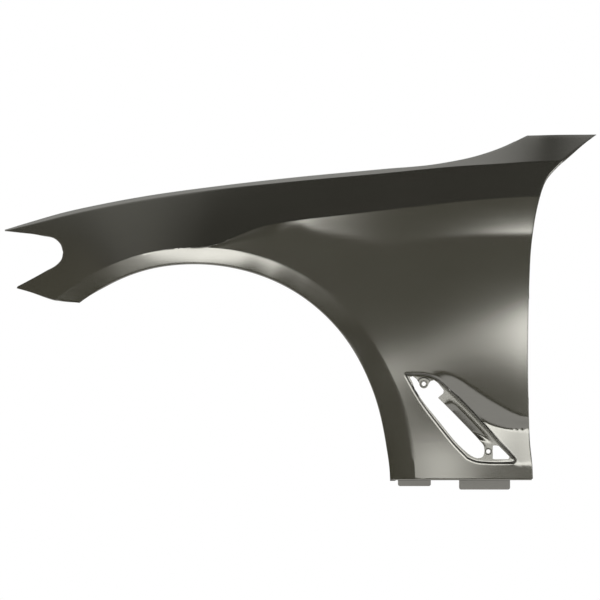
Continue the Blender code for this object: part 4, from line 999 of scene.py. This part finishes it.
def coat_group():
    """Shader group of a baked primer coat: colour clouds, fine streaks along the sheet and peel.

    Colour and roughness are the coat's own times 1 plus a cloud and a streak, each with its share;
    height is a fine noise plus the streak.
    """
    group, given, out = shader_group(
        "baked_coat",
        (("Vector", "Vector"), ("Colour", "Color"), ("Roughness", "Float", 0.3), ("Cloud", "Float", 0.06),
         ("Streak", "Float", 0.05), ("Peel size", "Float", 900.0)),
        (("Colour", "Color"), ("Roughness", "Float"), ("Height", "Float")))

    def noise(at, scale, detail):
        """Noise from 0 to 1 at a place."""
        return node(group, "ShaderNodeTexNoise", {"Vector": at, "Scale": scale, "Detail": detail}).outputs["Fac"]

    along = node(group, "ShaderNodeMapping", {"Vector": given["Vector"], "Scale": STREAK_SCALE}).outputs["Vector"]
    cloud = maths(group, "SUBTRACT", noise(given["Vector"], 5.0, 4.0), 0.5)
    streak = maths(group, "SUBTRACT", noise(along, 1.0, 3.0), 0.5)
    uneven = maths(group, "ADD", maths(group, "ADD", maths(group, "MULTIPLY", cloud, given["Cloud"]),
                                       maths(group, "MULTIPLY", streak, given["Streak"])), 1.0)
    peel = noise(given["Vector"], given["Peel size"], 2.0)
    link = group.links.new
    link(vector(group, "SCALE", {0: given["Colour"], "Scale": uneven}), out["Colour"])
    link(maths(group, "MULTIPLY", uneven, given["Roughness"]), out["Roughness"])
    link(maths(group, "ADD", peel, maths(group, "MULTIPLY", streak, STREAK_HEIGHT)), out["Height"])
    return group


def boss_group():
    """Shader group of a boss pressed round a hole: a height that is 1 near the centre and 0 past its foot.

    It is a soft step down in the distance from the centre, taken in the side view: the square root of
    x squared plus z squared.
    """
    group, given, out = shader_group(
        "pressed_boss", (("Vector", "Vector"), ("Centre", "Vector"), ("Top", "Float"), ("Foot", "Float")),
        (("Height", "Float"),))
    flat = vector(group, "MULTIPLY", {0: vector(group, "SUBTRACT", {0: given["Vector"], 1: given["Centre"]}),
                                      1: (1, 0, 1)})
    away = node(group, "ShaderNodeVectorMath", {0: flat}, operation="LENGTH").outputs["Value"]
    step = node(group, "ShaderNodeMapRange", {"Value": away, "From Min": given["Top"], "From Max": given["Foot"],
                                              "To Min": 1.0, "To Max": 0.0}, interpolation_type="SMOOTHSTEP")
    group.links.new(step.outputs["Result"], out["Height"])
    return group


def pressed(tree, place, group, bosses):
    """Normal of the summed bosses, each given as (centre, radius of its top, of its foot) in metres."""
    total = 0.0
    for centre, top, foot in bosses:
        boss = node(tree, "ShaderNodeGroup", {"Vector": place, "Centre": centre, "Top": top, "Foot": foot},
                    node_tree=group)
        total = maths(tree, "ADD", total, boss.outputs["Height"])
    relief = node(tree, "ShaderNodeBump", {"Height": total, "Distance": BOSS_RISE * 0.001, "Strength": 1.0})
    return relief.outputs["Normal"]


def primer(name, colour, rough, metal, peel, group, uneven, boss=None, bosses=()):
    """Primer on one face of the sheet: a Principled shader fed by the coat group on Object coordinates.

    Uneven gives the shares of cloud and streak. The coat's peel lies on the bosses, where there are any.
    """
    material = bpy.data.materials.new(name)
    material.use_nodes = True
    material.diffuse_color = (*colour, 1)
    tree = material.node_tree
    shader = tree.nodes["Principled BSDF"]
    shader.inputs["Metallic"].default_value = metal
    place = node(tree, "ShaderNodeTexCoord").outputs["Object"]
    coat = node(tree, "ShaderNodeGroup", {"Vector": place, "Colour": (*colour, 1), "Roughness": rough,
                                          "Cloud": uneven[0], "Streak": uneven[1]}, node_tree=group).outputs
    under = {"Normal": pressed(tree, place, boss, bosses)} if bosses else {}
    bump = node(tree, "ShaderNodeBump", {"Height": coat["Height"], "Distance": peel, "Strength": PEEL_STRENGTH,
                                         **under})
    for name, value in (("Base Color", coat["Colour"]), ("Roughness", coat["Roughness"]),
                        ("Normal", bump.outputs["Normal"])):
        tree.links.new(value, shader.inputs[name])
    return material


# ---------------------------------------------------------------------------------------------
# Operators
# ---------------------------------------------------------------------------------------------
def mesh_object(name, points, faces):
    """An object at the origin whose mesh holds points given in millimetres."""
    mesh = bpy.data.meshes.new(name)
    mesh.from_pydata((np.asarray(points) * 0.001).tolist(), [], faces)
    mesh.update()
    obj = bpy.data.objects.new(name, mesh)
    bpy.context.scene.collection.objects.link(obj)
    return obj


def modify(obj, name, kind, **values):
    """Add a modifier to an object and set its values."""
    made = obj.modifiers.new(name, kind)
    for key, value in values.items():
        setattr(made, key, value)


def apply_modifiers(obj):
    """Give the object the mesh that its modifiers make, and take the modifiers off."""
    made = bpy.data.meshes.new_from_object(obj.evaluated_get(bpy.context.evaluated_depsgraph_get()))
    made.name = obj.name
    obj.modifiers.clear()
    obj.data = made


class WING_OT_panel(Operator):
    """Draw the wing panel: its skin, folds, vent, flanges and holes, in primer"""
    bl_idname = "wing.panel"
    bl_label = "Wing panel"
    bl_options = {"REGISTER", "UNDO"}

    def execute(self, context):
        sizes, finish = context.scene.wing_sizes, context.scene.wing_finish
        s = in_mm(sizes)
        sheet = Sheet()
        lines = draw_skin(sheet, s)
        fold_edges(sheet, lines, s)
        sink_vent(sheet, lines, s)
        points, quads, triangles = sheet.arrays()
        origin = pad_origin(s)
        panel = mesh_object("wing_panel", points - origin, [*quads.tolist(), *triangles.tolist()])
        group = coat_group()
        bosses = [((np.array([x, 0, z]) - origin) * 0.001, top * 0.001, foot * 0.001) for (x, z), top, foot in BOSSES]
        for material in (primer("primer_outside", finish.outer, finish.rough, finish.metal, finish.peel, group,
                                UNEVEN_OUTSIDE, boss_group(), bosses),
                         primer("primer_inside", finish.inner, finish.rough_inside, finish.metal, finish.peel * 2,
                                group, UNEVEN_INSIDE)):
            panel.data.materials.append(material)
        panel.data.shade_smooth()
        modify(panel, "sheet thickness", "SOLIDIFY", thickness=sizes.sheet, offset=-1.0, use_even_offset=False,
               use_quality_normals=True, material_offset=1, material_offset_rim=0)
        places, faces = pierce(s)
        cutter = mesh_object("punches", places - origin, faces)
        modify(panel, "holes", "BOOLEAN", object=cutter, operation="DIFFERENCE", solver="MANIFOLD")
        apply_modifiers(panel)
        bpy.data.objects.remove(cutter)
        panel.data.set_sharp_from_angle(angle=math.radians(SHARP_ANGLE))
        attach(panel, "root")
        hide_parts("fender_panel")
        self.report({"INFO"}, f"{len(panel.data.polygons)} faces")
        return {"FINISHED"}


class WING_OT_stage(Operator):
    """Set the stage: a plain pale floor, a soft studio all round and the camera square on to the panel's side"""
    bl_idname = "wing.stage"
    bl_label = "Studio"
    bl_options = {"REGISTER", "UNDO"}

    def execute(self, context):
        look = context.scene.wing_studio
        low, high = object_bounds()
        self.floor(look, low.z - FLOOR_DROP)
        self.world(context, look)
        self.camera(context, low.y - CAMERA_BACK)
        context.scene.view_settings.view_transform = "Standard"
        return {"FINISHED"}

    def floor(self, look, z):
        """A square floor whose paper colour shows plainly to the camera and in reflections, with a soft shadow."""
        corners = np.array([(-1, -1), (1, -1), (1, 1), (-1, 1)]) * FLOOR_HALF
        floor = mesh_object("floor", np.column_stack([corners, np.full(4, z)]) * 1000, [[0, 1, 2, 3]])
        material = bpy.data.materials.new("floor_paper")
        material.use_nodes = True
        tree = material.node_tree
        tree.nodes.remove(tree.nodes["Principled BSDF"])
        paper = node(tree, "ShaderNodeBsdfDiffuse", {"Color": (*look.floor, 1)})
        glow = node(tree, "ShaderNodeEmission", {"Color": FLOOR_GLOW, "Strength": look.bounce})
        rays = node(tree, "ShaderNodeLightPath").outputs
        seen = maths(tree, "MAXIMUM", rays["Is Camera Ray"], rays["Is Glossy Ray"])
        mix = node(tree, "ShaderNodeMixShader", {"Fac": maths(tree, "MULTIPLY", seen, FLOOR_SHARE),
                                                 1: paper.outputs[0], 2: glow.outputs[0]})
        tree.links.new(mix.outputs[0], tree.nodes["Material Output"].inputs["Surface"])
        floor.data.materials.append(material)
        floor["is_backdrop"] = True

    def world(self, context, look):
        """The studio by direction: a dark room, cards, a long soft lamp in front, a pale floor and a backdrop.

        Height is the angle from the camera's side up over the top to the backdrop, in degrees, and
        side is the angle to the left or right. Each card is a product of soft steps in the two.
        The panel mirrors this studio; the camera itself sees plain white.
        """
        world = bpy.data.worlds.new("studio")
        context.scene.world = world
        world.use_nodes = True
        world.cycles.sampling_method = "MANUAL"
        world.cycles.sample_map_resolution = look.samples
        tree = world.node_tree
        tree.nodes.clear()

        def calc(operation, a, b=0.0):
            """Result of a Math node in the world."""
            return maths(tree, operation, a, b)

        def soft_step(value, low, high):
            """0 up to low and 1 from high, by 3 t squared less 2 t cubed between them."""
            return node(tree, "ShaderNodeMapRange", {"Value": value, "From Min": low, "From Max": high},
                        interpolation_type="SMOOTHSTEP").outputs["Result"]

        def band(value, low, high, soft):
            """A soft step up at low times one less a soft step at high."""
            return calc("MULTIPLY", soft_step(value, low - soft, low + soft),
                        calc("SUBTRACT", 1.0, soft_step(value, high - soft, high + soft)))

        def card(colour, up, across, amount):
            """A card's colour, and its amount times its bands in height and to the side."""
            return colour, calc("MULTIPLY", calc("MULTIPLY", band(height, *up), band(side, *across)), amount)

        place = node(tree, "ShaderNodeTexCoord").outputs["Generated"]
        split = node(tree, "ShaderNodeSeparateXYZ", {0: place}).outputs
        height = calc("MULTIPLY", calc("ARCTAN2", split["Z"], calc("MULTIPLY", split["Y"], -1.0)), 180 / math.pi)
        side = calc("MULTIPLY", calc("ARCSINE", split["X"]), 180 / math.pi)
        ground = calc("MULTIPLY", soft_step(height, *GROUND_FAR),
                      calc("SUBTRACT", 1.0, soft_step(height, *GROUND_NEAR)))
        rear = calc("ADD", soft_step(height, *REAR_TOP), soft_step(height, *REAR_FOOT))
        lights = ((ROOM_COLOUR, look.room), (WARM_COLOUR, band(height, *WARM_HEIGHT)),
                  card(*NOSE_CARD, look.fill), card(*CHIN_CARD, look.chin), card(*LAMP_CARD, look.lamp),
                  (GROUND_COLOUR, calc("MULTIPLY", ground, look.bounce - look.room)),
                  (REAR_COLOUR, calc("MULTIPLY", rear, look.backdrop - look.room)))
        lit = [vector(tree, "SCALE", {0: colour, "Scale": amount}) for colour, amount in lights]
        room = lit[0]
        for part in lit[1:]:
            room = vector(tree, "ADD", {0: room, 1: part})
        studio = node(tree, "ShaderNodeBackground", {"Color": room})
        white = node(tree, "ShaderNodeBackground", {"Color": (1, 1, 1, 1)})
        seen = node(tree, "ShaderNodeLightPath").outputs["Is Camera Ray"]
        mix = node(tree, "ShaderNodeMixShader", {"Fac": seen, 1: studio.outputs[0], 2: white.outputs[0]})
        node(tree, "ShaderNodeOutputWorld", {"Surface": mix.outputs[0]})

    def camera(self, context, y):
        """Camera square on to the side, with parallel rays, framed as the photograph is."""
        data = bpy.data.cameras.new("camera")
        data.type = "ORTHO"
        data.ortho_scale = VIEW_WIDTH
        data.clip_end = 50
        camera = bpy.data.objects.new("camera", data)
        camera.location = (VIEW_CENTRE[0], y, VIEW_CENTRE[1])
        camera.rotation_euler = (math.pi / 2, 0, 0)
        context.scene.collection.objects.link(camera)
        context.scene.camera = camera


class WING_PT_sidebar(Panel):
    """Sidebar with the sizes, the colours and the two steps"""
    bl_idname = "WING_PT_sidebar"
    bl_label = "Wing panel"
    bl_space_type = "VIEW_3D"
    bl_region_type = "UI"
    bl_category = "Wing panel"

    def draw(self, context):
        for group in (context.scene.wing_sizes, context.scene.wing_finish, context.scene.wing_studio):
            box = self.layout.box()
            for name in group.__annotations__:
                box.prop(group, name)
        self.layout.operator(WING_OT_panel.bl_idname)
        self.layout.operator(WING_OT_stage.bl_idname)


CLASSES = (WingSizes, WingFinish, StudioLook, WING_OT_panel, WING_OT_stage, WING_PT_sidebar)


def register():
    """Add the classes and their settings to Blender."""
    for cls in CLASSES:
        bpy.utils.register_class(cls)
    bpy.types.Scene.wing_sizes = PointerProperty(type=WingSizes)
    bpy.types.Scene.wing_finish = PointerProperty(type=WingFinish)
    bpy.types.Scene.wing_studio = PointerProperty(type=StudioLook)


def unregister():
    """Take the settings and the classes out again."""
    del bpy.types.Scene.wing_sizes, bpy.types.Scene.wing_finish, bpy.types.Scene.wing_studio
    for cls in reversed(CLASSES):
        bpy.utils.unregister_class(cls)


def main():
    """Register, then run the steps in order."""
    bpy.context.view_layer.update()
    register()
    bpy.ops.wing.panel()
    bpy.ops.wing.stage()


if __name__ == "__main__":
    main()
